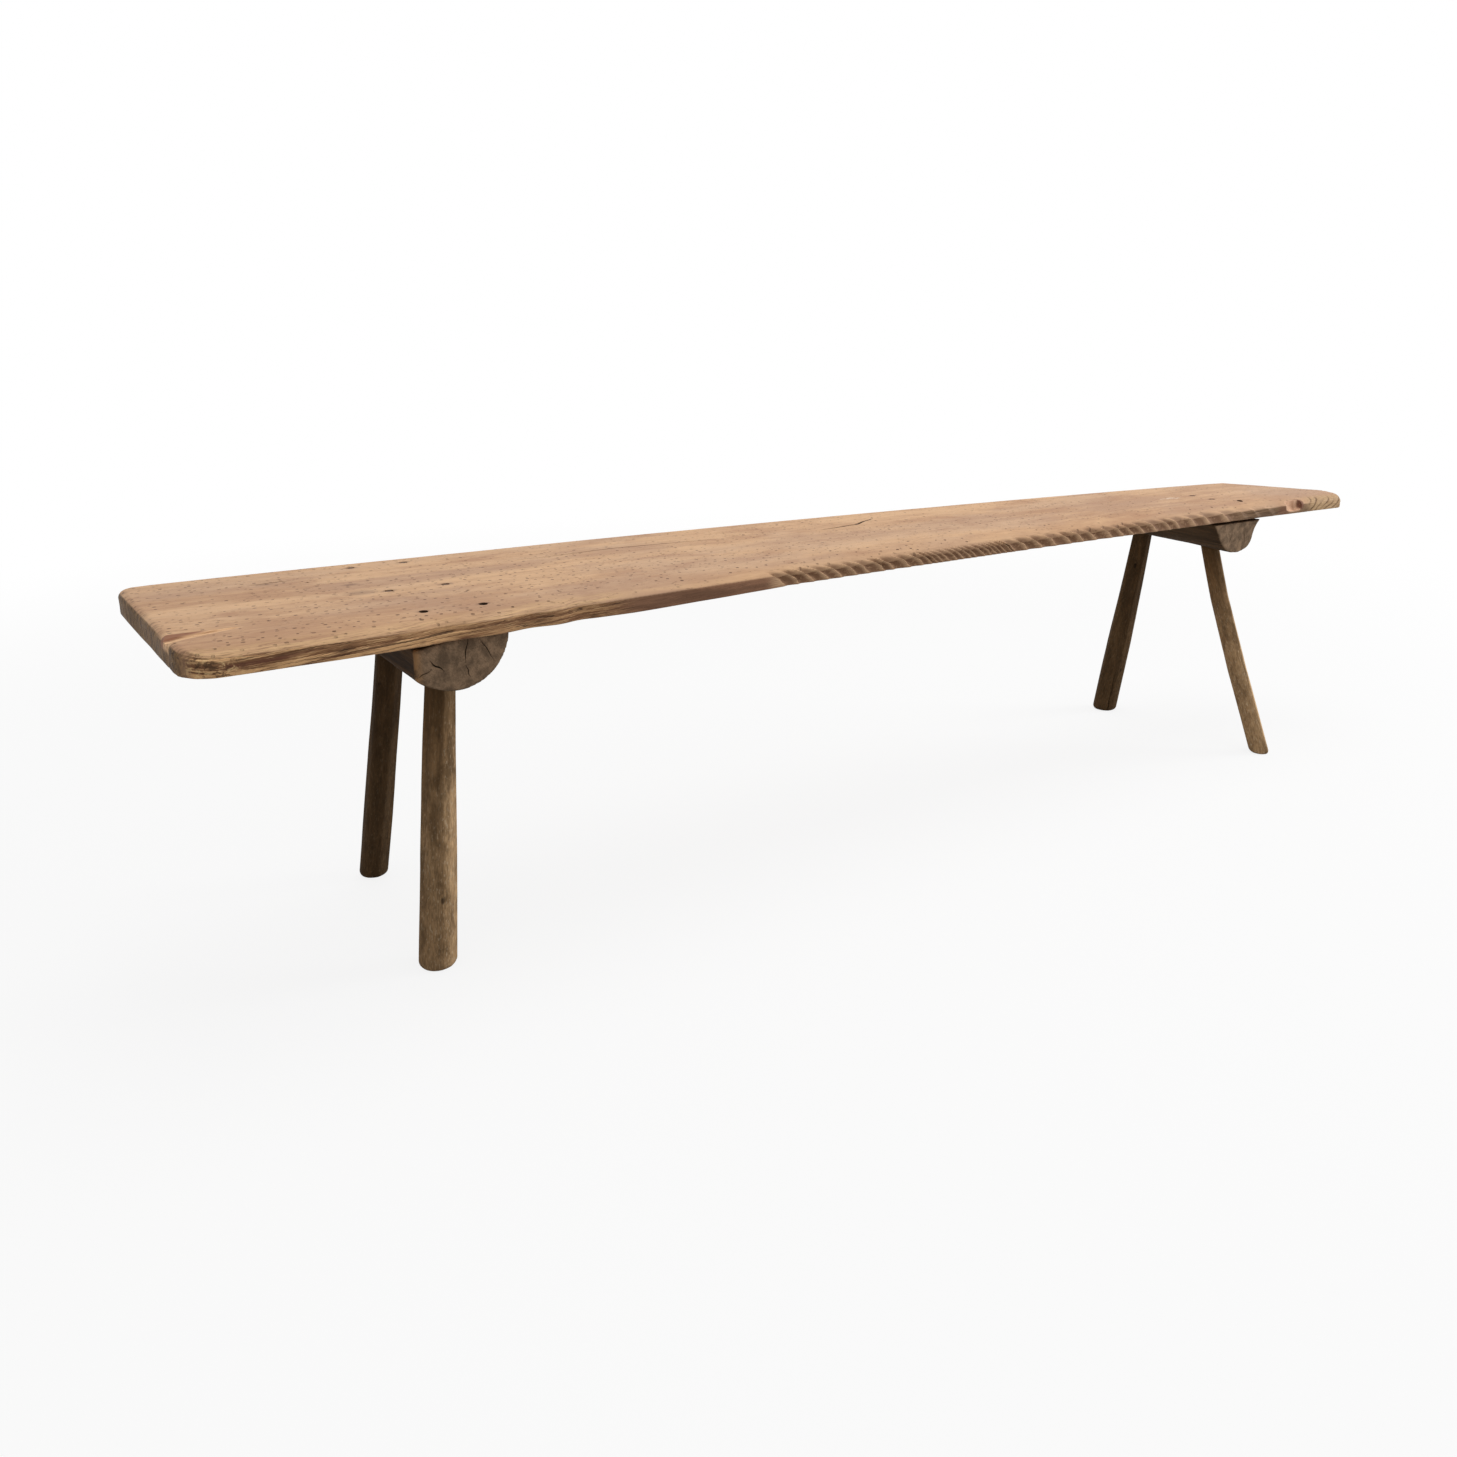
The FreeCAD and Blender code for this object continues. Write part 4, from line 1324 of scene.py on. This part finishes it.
def shape_bearer(name, bearer, look):
    """A half log with axe marks on its flanks and saw marks on its ends."""
    log = bearer_blank(name, bearer)
    apply_modifier(log, "REMESH", mode="VOXEL", voxel_size=look.voxel)
    places, normals = points_of(log), normals_of(log)
    low = 1 - between(SEAT_UNDERSIDE - 0.004, SEAT_UNDERSIDE - 0.0015, places[:, 2])
    marks = ripple(places, (26, 16, 26), 4.0) + 0.35 * ripple(places, (95, 30, 95), 9.0)
    saw = ripple(places, (150, 10, 35), 6.0)
    ends = between(0.6, 0.9, -normals[:, 1])
    depth = look.uneven * low * ((1 - ends) * (0.9 + marks) * 0.6 + ends * 0.35 * (1 + saw + marks))
    carved = places - normals * depth[:, None]
    if bearer.back_rise:
        back = (carved[:, 1] - bearer.front) / bearer.length
        thinner = 1 - bearer.back_rise * np.clip(back, 0, 1)
        carved[:, 2] = SEAT_UNDERSIDE + (carved[:, 2] - SEAT_UNDERSIDE) * thinner
    reshape(log, lambda before: carved)
    return log


def tenon_bore(leg):
    """A long stub where a leg's tenon goes through its bearer."""
    bpy.ops.mesh.primitive_cylinder_add(vertices=48, radius=leg.tenon / 2 + FIT, depth=BORE_LENGTH)
    tool = named("bore")
    tool.data.transform(leg.placement)
    return tool


def mark_bearer(log, bearer):
    """Keep at its vertices what a bearer's finish reads."""
    places, normals = points_of(log), normals_of(log)
    heart_x, heart_z = bearer.heart
    x = places[:, 0] - bearer.x - heart_x
    z = places[:, 2] - SEAT_UNDERSIDE - heart_z
    at_front = 1 - between(0.003, 0.007, places[:, 1] - bearer.front)
    left_edge = 1 - between(-0.055, -0.046, places[:, 0] - bearer.x)
    paint(
        log, rings=np.hypot(x, z) * 1000, turn=np.arctan2(z, x), tone=bearer.tone,
        end=between(0.5, 0.85, np.abs(normals[:, 1])), worn=at_front * left_edge * bearer.worn,
    )


class BENCH_OT_bearers(bpy.types.Operator):
    """Model the two half-log bearers with their checks and mortises"""
    bl_idname = "bench.bearers"
    bl_label = "Bearers"

    def execute(self, context):
        look = context.scene.bench_bearers
        finish = bearer_finish(look)
        for end, bearer in BEARERS.items():
            log = shape_bearer(end + "_half_log", bearer, look)
            cutters = [check_cutter(bearer, *check) for check in bearer.checks]
            cutters += [tenon_bore(leg) for leg in LEGS if leg.end == end]
            for cutter in cutters:
                carve_away(log, cutter)
            mark_bearer(log, bearer)
            dress(log, finish, "bearer_timber", end + "_bearer")
        return {"FINISHED"}


# Legs

class Leg:
    """Where one leg stands and how it is shaped."""

    def __init__(self, name, end, head, splay, widths, bend, flats, squareness, tone, bare_and_lit_share):
        self.name = name
        self.end = end
        self.foot, self.shin, self.neck, self.tenon = widths
        self.bend = bend
        self.flats = flats
        self.squareness = squareness
        self.tone = tone
        self.bare_and_lit_share = bare_and_lit_share
        upwards = Vector((-splay[0], -splay[1], SEAT_UNDERSIDE))
        self.reach = upwards.length
        turn = Vector((0, 0, 1)).rotation_difference(upwards).to_matrix().to_4x4()
        self.placement = Matrix.Translation((*head, SEAT_UNDERSIDE)) @ turn
        self.sole = np.array(self.placement @ Vector((0, 0, -self.reach)))


# A leg's tone is partly painted shade: the back legs are toned darker for the shade under the seat. The last
# number sets how much pale wood a leg gets, partly rubbed wear and partly painted highlight, so the front
# legs, which face the lamps, get more.
LEGS = (
    Leg(
        "front_left", "left", (-0.7275, -0.087), (-0.0435, -0.016), (0.049, 0.0455, 0.0345, 0.031),
        bend=-0.001, flats=9, squareness=0.93, tone=0.92, bare_and_lit_share=1.0,
    ),
    Leg(
        "back_left", "left", (-0.7355, 0.062), (-0.0265, 0.1305), (0.041, 0.0405, 0.037, 0.031),
        bend=0.001, flats=6, squareness=0.91, tone=0.5, bare_and_lit_share=0.15,
    ),
    Leg(
        "front_right", "right", (0.757, -0.0315), (0.037, -0.1647), (0.033, 0.0325, 0.0305, 0.027),
        bend=-0.010, flats=11, squareness=0.96, tone=1.15, bare_and_lit_share=1.25,
    ),
    Leg(
        "back_right", "right", (0.742, 0.079), (0.014, 0.061), (0.047, 0.046, 0.0345, 0.029),
        bend=0.002, flats=8, squareness=0.93, tone=0.58, bare_and_lit_share=0.2,
    ),
)
TENON_RINGS = 9
TENON_OVER = 0.03
FOOT_RINGS = (0.08, 0.22, 0.42, 0.68, 1.0)
FOOT_CRACKS = {"back_right": SimpleNamespace(turn=-2.15, height=0.09, width=0.0020, depth=0.010)}
FLAT_WAVES = 0.012
SHAVING_DEPTH = 0.008
NICK_DEPTH = 0.004


class LegSettings(bpy.types.PropertyGroup):
    sides: count_of("Sides", "Faces round a leg", 64, 12)
    rings: count_of("Rings", "Faces along a leg's shaft", 110, 10)
    foot_round: length_of("Foot round", "How far the foot's rim is worn", 0.008)
    color: color_of("Weathered wood", "Brown of the legs", (0.103, 0.056, 0.0235))
    # Pale leg wood, partly rubbed wear and partly a painted highlight on the legs' lit sides
    bare: color_of("Bare wood", "Rubbed wood", (0.61, 0.40, 0.215))


def shaved_shape(leg, look):
    """The moves that turn a plain rod into a shaved, bent leg with its tenon."""
    dice = random.Random(leg.name)
    turns = [2 * math.pi * (n + dice.uniform(-0.25, 0.25)) / leg.flats for n in range(leg.flats)]
    depths = [leg.squareness + dice.uniform(-0.02, 0.03) for n in turns]
    waves = [dice.uniform(0, 6) for n in turns]
    half_depth = BEARERS[leg.end].depth / 2
    floor = -leg.reach - leg.foot
    shaft = np.linspace(floor, -half_depth, look.rings)
    tenon = np.linspace(-half_depth + 0.0004, TENON_OVER, TENON_RINGS)
    heights = np.concatenate([shaft, tenon])
    stations = (floor, -0.65 * leg.reach, -0.35 * leg.reach, -half_depth)
    knee = (leg.neck + leg.shin) / 2

    def shape(rod):
        angle = np.arctan2(rod[:, 1], rod[:, 0])
        ring = np.rint((rod[:, 2] + 0.5) * (len(heights) - 1)).astype(int)
        z = heights[ring]
        radius = np.interp(z, stations, (leg.foot / 2, leg.shin / 2, knee / 2, leg.neck / 2))
        offset = np.interp(z, stations, (0, leg.bend, leg.bend, 0))
        offset = offset + leg.bend * 0.12 * np.sin(np.pi * np.clip(-z / leg.reach, 0, 1) * 2)
        flat = np.ones_like(z)
        for turn, depth, wave in zip(turns, depths, waves):
            drift = turn + 0.10 * np.sin(z * 9 + wave)
            facing = np.cos(angle - drift)
            cut = (depth + FLAT_WAVES * np.sin(z * 23 + wave * 2)) / np.maximum(facing, 0.3)
            flat = np.where(facing > 0.3, np.minimum(flat, cut), flat)
        flat = 1 - (1 - flat) * (0.25 + 0.75 * between(-leg.reach, -0.70 * leg.reach, z))
        rough = np.column_stack([np.cos(angle) * radius, np.sin(angle) * radius, z])
        flat = flat - SHAVING_DEPTH * (1 + ripple(rough, (60, 60, 9), waves[0]))
        flat = flat - NICK_DEPTH * (1 + ripple(rough, (190, 190, 40)))
        is_tenon = ring >= look.rings
        radius = np.where(is_tenon, leg.tenon / 2 - FIT, radius * flat)
        offset = np.where(is_tenon, 0, offset)
        return np.column_stack([np.cos(angle) * radius + offset, np.sin(angle) * radius, z])

    return shape


def shape_leg(leg, look):
    """A shaved leg, cut off level at the floor and under the plank, with a worn foot."""
    bpy.ops.mesh.primitive_cylinder_add(vertices=look.sides, radius=1, depth=1)
    rod = named(leg.name + "_shaved_leg")
    with editing(rod):
        pick(rod, "EDGE", runs_along(2))
        bpy.ops.mesh.subdivide(number_cuts=look.rings + TENON_RINGS - 2)
    reshape(rod, shaved_shape(leg, look))
    across, side, length = points_of(rod).T
    paint(rod, grain_x=across, grain_y=side, grain_z=length)
    rod.data.transform(leg.placement)
    with editing(rod):
        slice_level(0, use_fill=True, clear_inner=True)
        slice_level(SEAT_UNDERSIDE - FIT, use_fill=True, clear_outer=True)
        for share in FOOT_RINGS:
            slice_level(share * look.foot_round)

    def rounded_foot(points):
        rise = np.clip(1 - points[:, 2] / look.foot_round, 0, 1)
        inset = look.foot_round * 0.8 * (1 - np.sqrt(1 - rise ** 2))
        out = (points - leg.sole) * (1, 1, 0)
        length = np.maximum(np.linalg.norm(out, axis=1), 1e-9)
        return np.maximum(points - out * (inset / length)[:, None], (-9, -9, 0))

    reshape(rod, rounded_foot)
    face_outwards(rod)
    return rod


def foot_crack_cutter(leg, crack):
    """A thin blade that splits the foot of a leg upwards, on the side that a turn about Z points to."""
    lean = (np.array(leg.placement.translation) - leg.sole) / SEAT_UNDERSIDE
    outwards = np.array((math.cos(crack.turn), math.sin(crack.turn), 0))
    sidewards = np.array((-math.sin(crack.turn), math.cos(crack.turn), 0))

    def shape(block):
        share = block[:, 2] + 0.5
        thin = np.sqrt(np.clip(1 - share, 0.02, 1))
        outer = block[:, 0] > 0
        out = leg.foot / 2 + np.where(outer, OVERCUT, -crack.depth * thin)
        side = block[:, 1] * crack.width * thin * np.where(outer, 1.2, 0.15) + 0.0007 * np.sin(share * 14)
        rise = share * (crack.height + OVERCUT) - OVERCUT
        return leg.sole + rise[:, None] * lean + out[:, None] * outwards + side[:, None] * sidewards

    return shaped_bar("foot_crack", 2, 24, shape)


def leg_finish(look):
    """Brown, weathered wood with long grain, pale flecks and a knot or two; rubbed wood and painted highlight
    make it paler on the lit sides, and painted shade darkens the back legs.
    """
    wood = Finish(bpy.data.materials.new("leg_timber"))
    step = wood.step
    tone, bare, end = wood.painted("tone", "bare", "end")
    local = wood.joined(*wood.painted("grain_x", "grain_y", "grain_z"))
    grain = wood.grain(local, (95, 95, 13), 5.0, 0.66, 0.8)
    fine = wood.grain(local, (480, 480, 110), 3.0, 0.62, 0.4)
    patches = wood.grain(local, (40, 40, 20), 4.0, 0.62, 0.5)
    flecks = wood.grain(local, (560, 560, 150), 2.0, 0.55, shift=(4, 0, 1))
    knots = step(wood.cells(wood.stretched(local, (1, 1, 0.5)), 17.0, dimensions="3D"), 0.06, 0.025)
    # Pale rubbed wood and pale flecks where the bare mark is high: partly wear and partly a painted highlight
    # on the legs' lit sides and lower parts.
    rubbed_and_lit = bare * (0.55 + 0.45 * step(patches * 0.75 + grain * 0.25, 0.38, 0.60))
    rubbed_and_lit_wood = wood.mix(step(fine, 0.34, 0.66), shaded(look.bare, 0.6), look.bare)
    pale = step(flecks, 0.58, 0.68) * (0.10 + bare * 0.90)
    color = wood.layered(
        shaded(look.color, 0.7),
        (step(grain, 0.32, 0.68), shaded(look.color, 1.3)),
        (step(fine, 0.54, 0.36) * 0.35, shaded(look.color, 0.45)),
        (rubbed_and_lit * 0.9, rubbed_and_lit_wood),
        (pale * 0.62, (0.58, 0.46, 0.32)),
        (knots * 0.8, (0.022, 0.012, 0.006)),
        (step(patches, 0.50, 0.34) * 0.35, shaded(look.color, 0.5)),
        (end * 0.5, (0.10, 0.07, 0.045)),
    )
    height = grain * 0.8 + fine * 0.4 + patches * 0.5 - knots * 0.8
    # The tone darkens the back legs as painted shade.
    return wood.surface(wood.toned(color, tone), 0.82, height, 0.0012, specular=0.06)


class BENCH_OT_legs(bpy.types.Operator):
    """Model the four shaved legs with their tenons and scribed shoulders"""
    bl_idname = "bench.legs"
    bl_label = "Legs"

    def execute(self, context):
        look = context.scene.bench_legs
        finish = leg_finish(look)
        for leg in LEGS:
            rod = shape_leg(leg, look)
            carve_away(rod, copied(bpy.data.objects[leg.end + "_half_log"], "shoulder_cutter"))
            kerf = copied(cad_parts[leg.name + "_wedge"], "kerf_cutter")
            with editing(kerf):
                select_all()
                bpy.ops.mesh.remove_doubles(threshold=1e-6)
            carve_away(rod, kerf)
            if leg.name in FOOT_CRACKS:
                carve_away(rod, foot_crack_cutter(leg, FOOT_CRACKS[leg.name]))
            normals = normals_of(rod)
            # Pale bare wood, partly rubbed wear and partly painted light: a painted highlight on the sides
            # that face the lamps, and paler towards the foot, away from the seat's shade.
            low = 1 - between(0.16, 0.36, points_of(rod)[:, 2])
            lit = between(0.30, 0.80, normals[:, 0] * 0.9 - normals[:, 1] * 0.4)
            bare = np.clip(0.36 * low + lit * (0.2 + 0.6 * low), 0, 1) * leg.bare_and_lit_share
            paint(rod, bare=bare, tone=leg.tone, end=between(0.7, 0.95, -normals[:, 2]))
            dress(rod, finish, "leg_timber", leg.name + "_leg")
        return {"FINISHED"}


# Nails and wedges

NAIL_SEED = 5
HEAD_HEIGHT = 0.0025
HEAD_SLOPE = 0.0011
HEAD_INSET = 0.0019
SHANK_RADIUS = 0.0026
SHANK_LENGTH = 0.049
SHANK_TAPER = 0.35
NAIL_EASE = 0.0004


class NailSettings(bpy.types.PropertyGroup):
    head: length_of("Head radius", "Radius of a nail's head", 0.0048)
    sink: length_of("Sink", "How far heads lie under the wood", 0.0010)
    color: color_of("Iron", "Dark rusted iron", (0.085, 0.050, 0.036))


def forged_nail(look):
    """One nail, its head at the origin: a hammered head and a tapering shank."""
    bpy.ops.mesh.primitive_cylinder_add(
        vertices=8, radius=look.head, depth=HEAD_HEIGHT, location=(0, 0, -HEAD_HEIGHT / 2),
    )
    nail = named("nail")
    bpy.ops.object.transform_apply(location=True, rotation=True, scale=True)

    def on_rim(edge):
        return all(v.co.z > -1e-4 and v.co.xy.length > look.head * 0.99 for v in edge.verts)

    with editing(nail):
        pick(nail, "FACE", lambda face: face.normal.z > 0.9)
        bpy.ops.mesh.inset(thickness=HEAD_INSET)
        pick(nail, "EDGE", on_rim)
        bpy.ops.transform.translate(value=(0, 0, -HEAD_SLOPE))
        pick(nail, "FACE", lambda face: face.normal.z < -0.9)
        bpy.ops.mesh.inset(thickness=look.head - SHANK_RADIUS)
        extrude((0, 0, -SHANK_LENGTH))
        bpy.ops.transform.resize(value=(SHANK_TAPER, SHANK_TAPER, 1.0))
    ease_edges(nail, NAIL_EASE, 30)
    return nail


def iron_finish(look):
    """Forged iron gone dark with rust."""
    iron = Finish(bpy.data.materials.new("nail_iron"))
    place = iron.place()
    rust = iron.grain(place, (420, 420, 420), 4.0, 0.65)
    pits = iron.grain(place, (1500, 1500, 1500))
    rusted = iron.step(rust, 0.42, 0.66)
    color = iron.mix(rusted, look.color, (0.135, 0.062, 0.033))
    height = rust * 0.7 + pits * 0.5
    return iron.surface(color, 0.62 + rust * 0.2, height, 0.0004, metallic=0.55 - rusted * 0.5)


class BENCH_OT_nails(bpy.types.Operator):
    """Model one forged nail and set copies of it in the plank"""
    bl_idname = "bench.nails"
    bl_label = "Nails"

    def execute(self, context):
        look = context.scene.bench_nails
        finish = iron_finish(look)
        pattern = forged_nail(look)
        dice = random.Random(NAIL_SEED)
        for end, places in NAILS.items():
            group = []
            for x, y in places:
                nail = copied(pattern, end + "_nail")
                turn = Matrix.Rotation(dice.uniform(0, 6.3), 4, "Z")
                tilt = Matrix.Rotation(dice.uniform(-0.03, 0.03), 4, "X")
                place = Matrix.Translation((x, y, nail_top(x, y) - look.sink))
                nail.data.transform(place @ (turn @ tilt))
                group.append(nail)
            only(*group)
            bpy.ops.object.join()
            dress(named(end + "_forged_nails"), finish, "nail_iron", end + "_bearer_nails")
        bpy.data.objects.remove(pattern)
        return {"FINISHED"}


class BENCH_OT_wedges(bpy.types.Operator):
    """Give the wedges in the tenons their wood finish"""
    bl_idname = "bench.wedges"
    bl_label = "Wedges"

    def execute(self, context):
        wood = Finish(bpy.data.materials.new("wedge_timber"))
        grain = wood.grain(wood.place(), (260, 260, 18), 4.0, 0.6)
        color = wood.mix(wood.step(grain, 0.35, 0.65), (0.24, 0.155, 0.09), (0.44, 0.31, 0.19))
        finish = wood.surface(color, 0.75, grain, 0.0006)
        for leg in LEGS:
            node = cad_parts[leg.name + "_wedge"]
            node.data.materials.clear()
            node.data.materials.append(finish)
        return {"FINISHED"}


# Stage

SENSOR_WIDTH = 36
FLOOR_SIZE = 60
FLOOR_GREY = (0.72, 0.72, 0.72, 1)
LIT_POINT = Vector((0.1, 0.0, 0.3))
LAMPS = {
    # place, size
    "key": ((0.3, 0.1, 3.6), 2.4),
    "side": ((4.4, -1.7, 1.7), 2.0),
}


class StageSettings(bpy.types.PropertyGroup):
    sky: number_of("Sky", "Strength of the light from all around", 0.62)
    key: number_of("Key light", "Power of the large lamp above", 43.0, unit="POWER")
    side: number_of("Side light", "Power of the lamp on the right", 110.0, unit="POWER")
    focal: number_of("Lens", "Focal length on a 36 mm sensor, in mm", 29.106)
    camera: FloatVectorProperty(
        name="Camera", description="Where the camera stands", subtype="TRANSLATION",
        default=(-1.1752, -1.3911, 0.7700),
    )
    yaw: number_of("Yaw", "Turn to the right of +Y", 0.577, subtype="ANGLE")
    pitch: number_of("Pitch", "Look downwards", 0.337, subtype="ANGLE")
    roll: number_of("Roll", "Lean of the camera", 0.004, subtype="ANGLE")


def stage_camera(stage):
    yaw, pitch, roll = stage.yaw, stage.pitch, stage.roll
    ahead = Vector((math.sin(yaw) * math.cos(pitch), math.cos(yaw) * math.cos(pitch), -math.sin(pitch)))
    right = Vector((math.cos(yaw), -math.sin(yaw), 0))
    up = right.cross(ahead)
    leaned_right = right * math.cos(roll) + up * math.sin(roll)
    leaned_up = up * math.cos(roll) - right * math.sin(roll)
    data = bpy.data.cameras.new("camera")
    data.sensor_width = SENSOR_WIDTH
    data.lens = stage.focal
    camera = bpy.data.objects.new("camera", data)
    bpy.context.scene.collection.objects.link(camera)
    turn = Matrix((leaned_right, leaned_up, -ahead)).transposed().to_4x4()
    camera.matrix_world = Matrix.Translation(stage.camera) @ turn
    bpy.context.scene.camera = camera


def seen_plainly(finish):
    """1 for rays that come from the camera or from a glossy or clear surface."""
    outputs = finish.node("ShaderNodeLightPath", output=None).outputs
    camera, glossy, clear = (
        Tone(finish, outputs[name]) for name in ("Is Camera Ray", "Is Glossy Ray", "Is Transmission Ray")
    )
    return finish.larger(finish.larger(camera, glossy), clear)


def daylight(strength):
    """A white world that lights the bench with a strength and looks plain white."""
    world = Finish(bpy.data.worlds.new("daylight"))
    sockets = {"Color": WHITE, "Strength": seen_plainly(world) * (1 - strength) + strength}
    light = world.node("ShaderNodeBackground", sockets, "Background")
    world.node("ShaderNodeOutputWorld", {"Surface": light}, None)
    return world.owner


def floor_finish():
    """A pale floor that fades to white around the bench."""
    pale = Finish(bpy.data.materials.new("floor"))
    far = pale.step(pale.apart(pale.place(), (0, 0, 0)), 1.3, 3.2)
    matt = pale.node("ShaderNodeBsdfDiffuse", {"Color": FLOOR_GREY}, "BSDF")
    white = pale.node("ShaderNodeEmission", {"Color": WHITE, "Strength": 1.0}, "Emission")
    share = seen_plainly(pale) * (0.85 + far * 0.15)
    blend = pale.node("ShaderNodeMixShader", {0: share, 1: matt, 2: white}, "Shader")
    pale.node("ShaderNodeOutputMaterial", {"Surface": blend}, None)
    return pale.owner


def soft_lamp(name, place, size, power):
    """A round lamp that shines on the bench."""
    data = bpy.data.lights.new(name, "AREA")
    data.shape = "DISK"
    data.size = size
    data.energy = power
    lamp = bpy.data.objects.new(name, data)
    bpy.context.scene.collection.objects.link(lamp)
    lamp.location = place
    lamp.rotation_euler = (LIT_POINT - lamp.location).to_track_quat("-Z", "Y").to_euler()


class BENCH_OT_stage(bpy.types.Operator):
    """Set up the pale floor, the soft light and the camera"""
    bl_idname = "bench.stage"
    bl_label = "Stage"

    def execute(self, context):
        stage = context.scene.bench_stage
        stage_camera(stage)
        context.scene.view_settings.view_transform = "Standard"
        context.scene.world = daylight(stage.sky)
        bpy.ops.mesh.primitive_plane_add(size=FLOOR_SIZE)
        floor = named("floor")
        floor.data.materials.append(floor_finish())
        for name, (place, size) in LAMPS.items():
            soft_lamp(name, place, size, getattr(stage, name))
        return {"FINISHED"}


class BENCH_PT_sidebar(bpy.types.Panel):
    """Lists the steps of the bench"""
    bl_idname = "BENCH_PT_sidebar"
    bl_label = "Rustic Plank Bench"
    bl_space_type = "VIEW_3D"
    bl_region_type = "UI"
    bl_category = "Bench"

    def draw(self, context):
        for step in STEPS:
            self.layout.operator(step.bl_idname)


STEPS = (BENCH_OT_stage, BENCH_OT_seat, BENCH_OT_bearers, BENCH_OT_legs, BENCH_OT_nails, BENCH_OT_wedges)
SETTINGS = {
    "bench_seat": SeatSettings,
    "bench_bearers": BearerSettings,
    "bench_legs": LegSettings,
    "bench_nails": NailSettings,
    "bench_stage": StageSettings,
}


def register():
    for group in (*SETTINGS.values(), *STEPS, BENCH_PT_sidebar):
        bpy.utils.register_class(group)
    for name, group in SETTINGS.items():
        setattr(bpy.types.Scene, name, PointerProperty(type=group))


def unregister():
    for name in SETTINGS:
        delattr(bpy.types.Scene, name)
    for group in (BENCH_PT_sidebar, *reversed(STEPS), *SETTINGS.values()):
        bpy.utils.unregister_class(group)


def main():
    register()
    bpy.ops.bench.stage()
    bpy.ops.bench.seat()
    bpy.ops.bench.bearers()
    bpy.ops.bench.legs()
    bpy.ops.bench.nails()
    bpy.ops.bench.wedges()


if __name__ == "__main__":
    main()
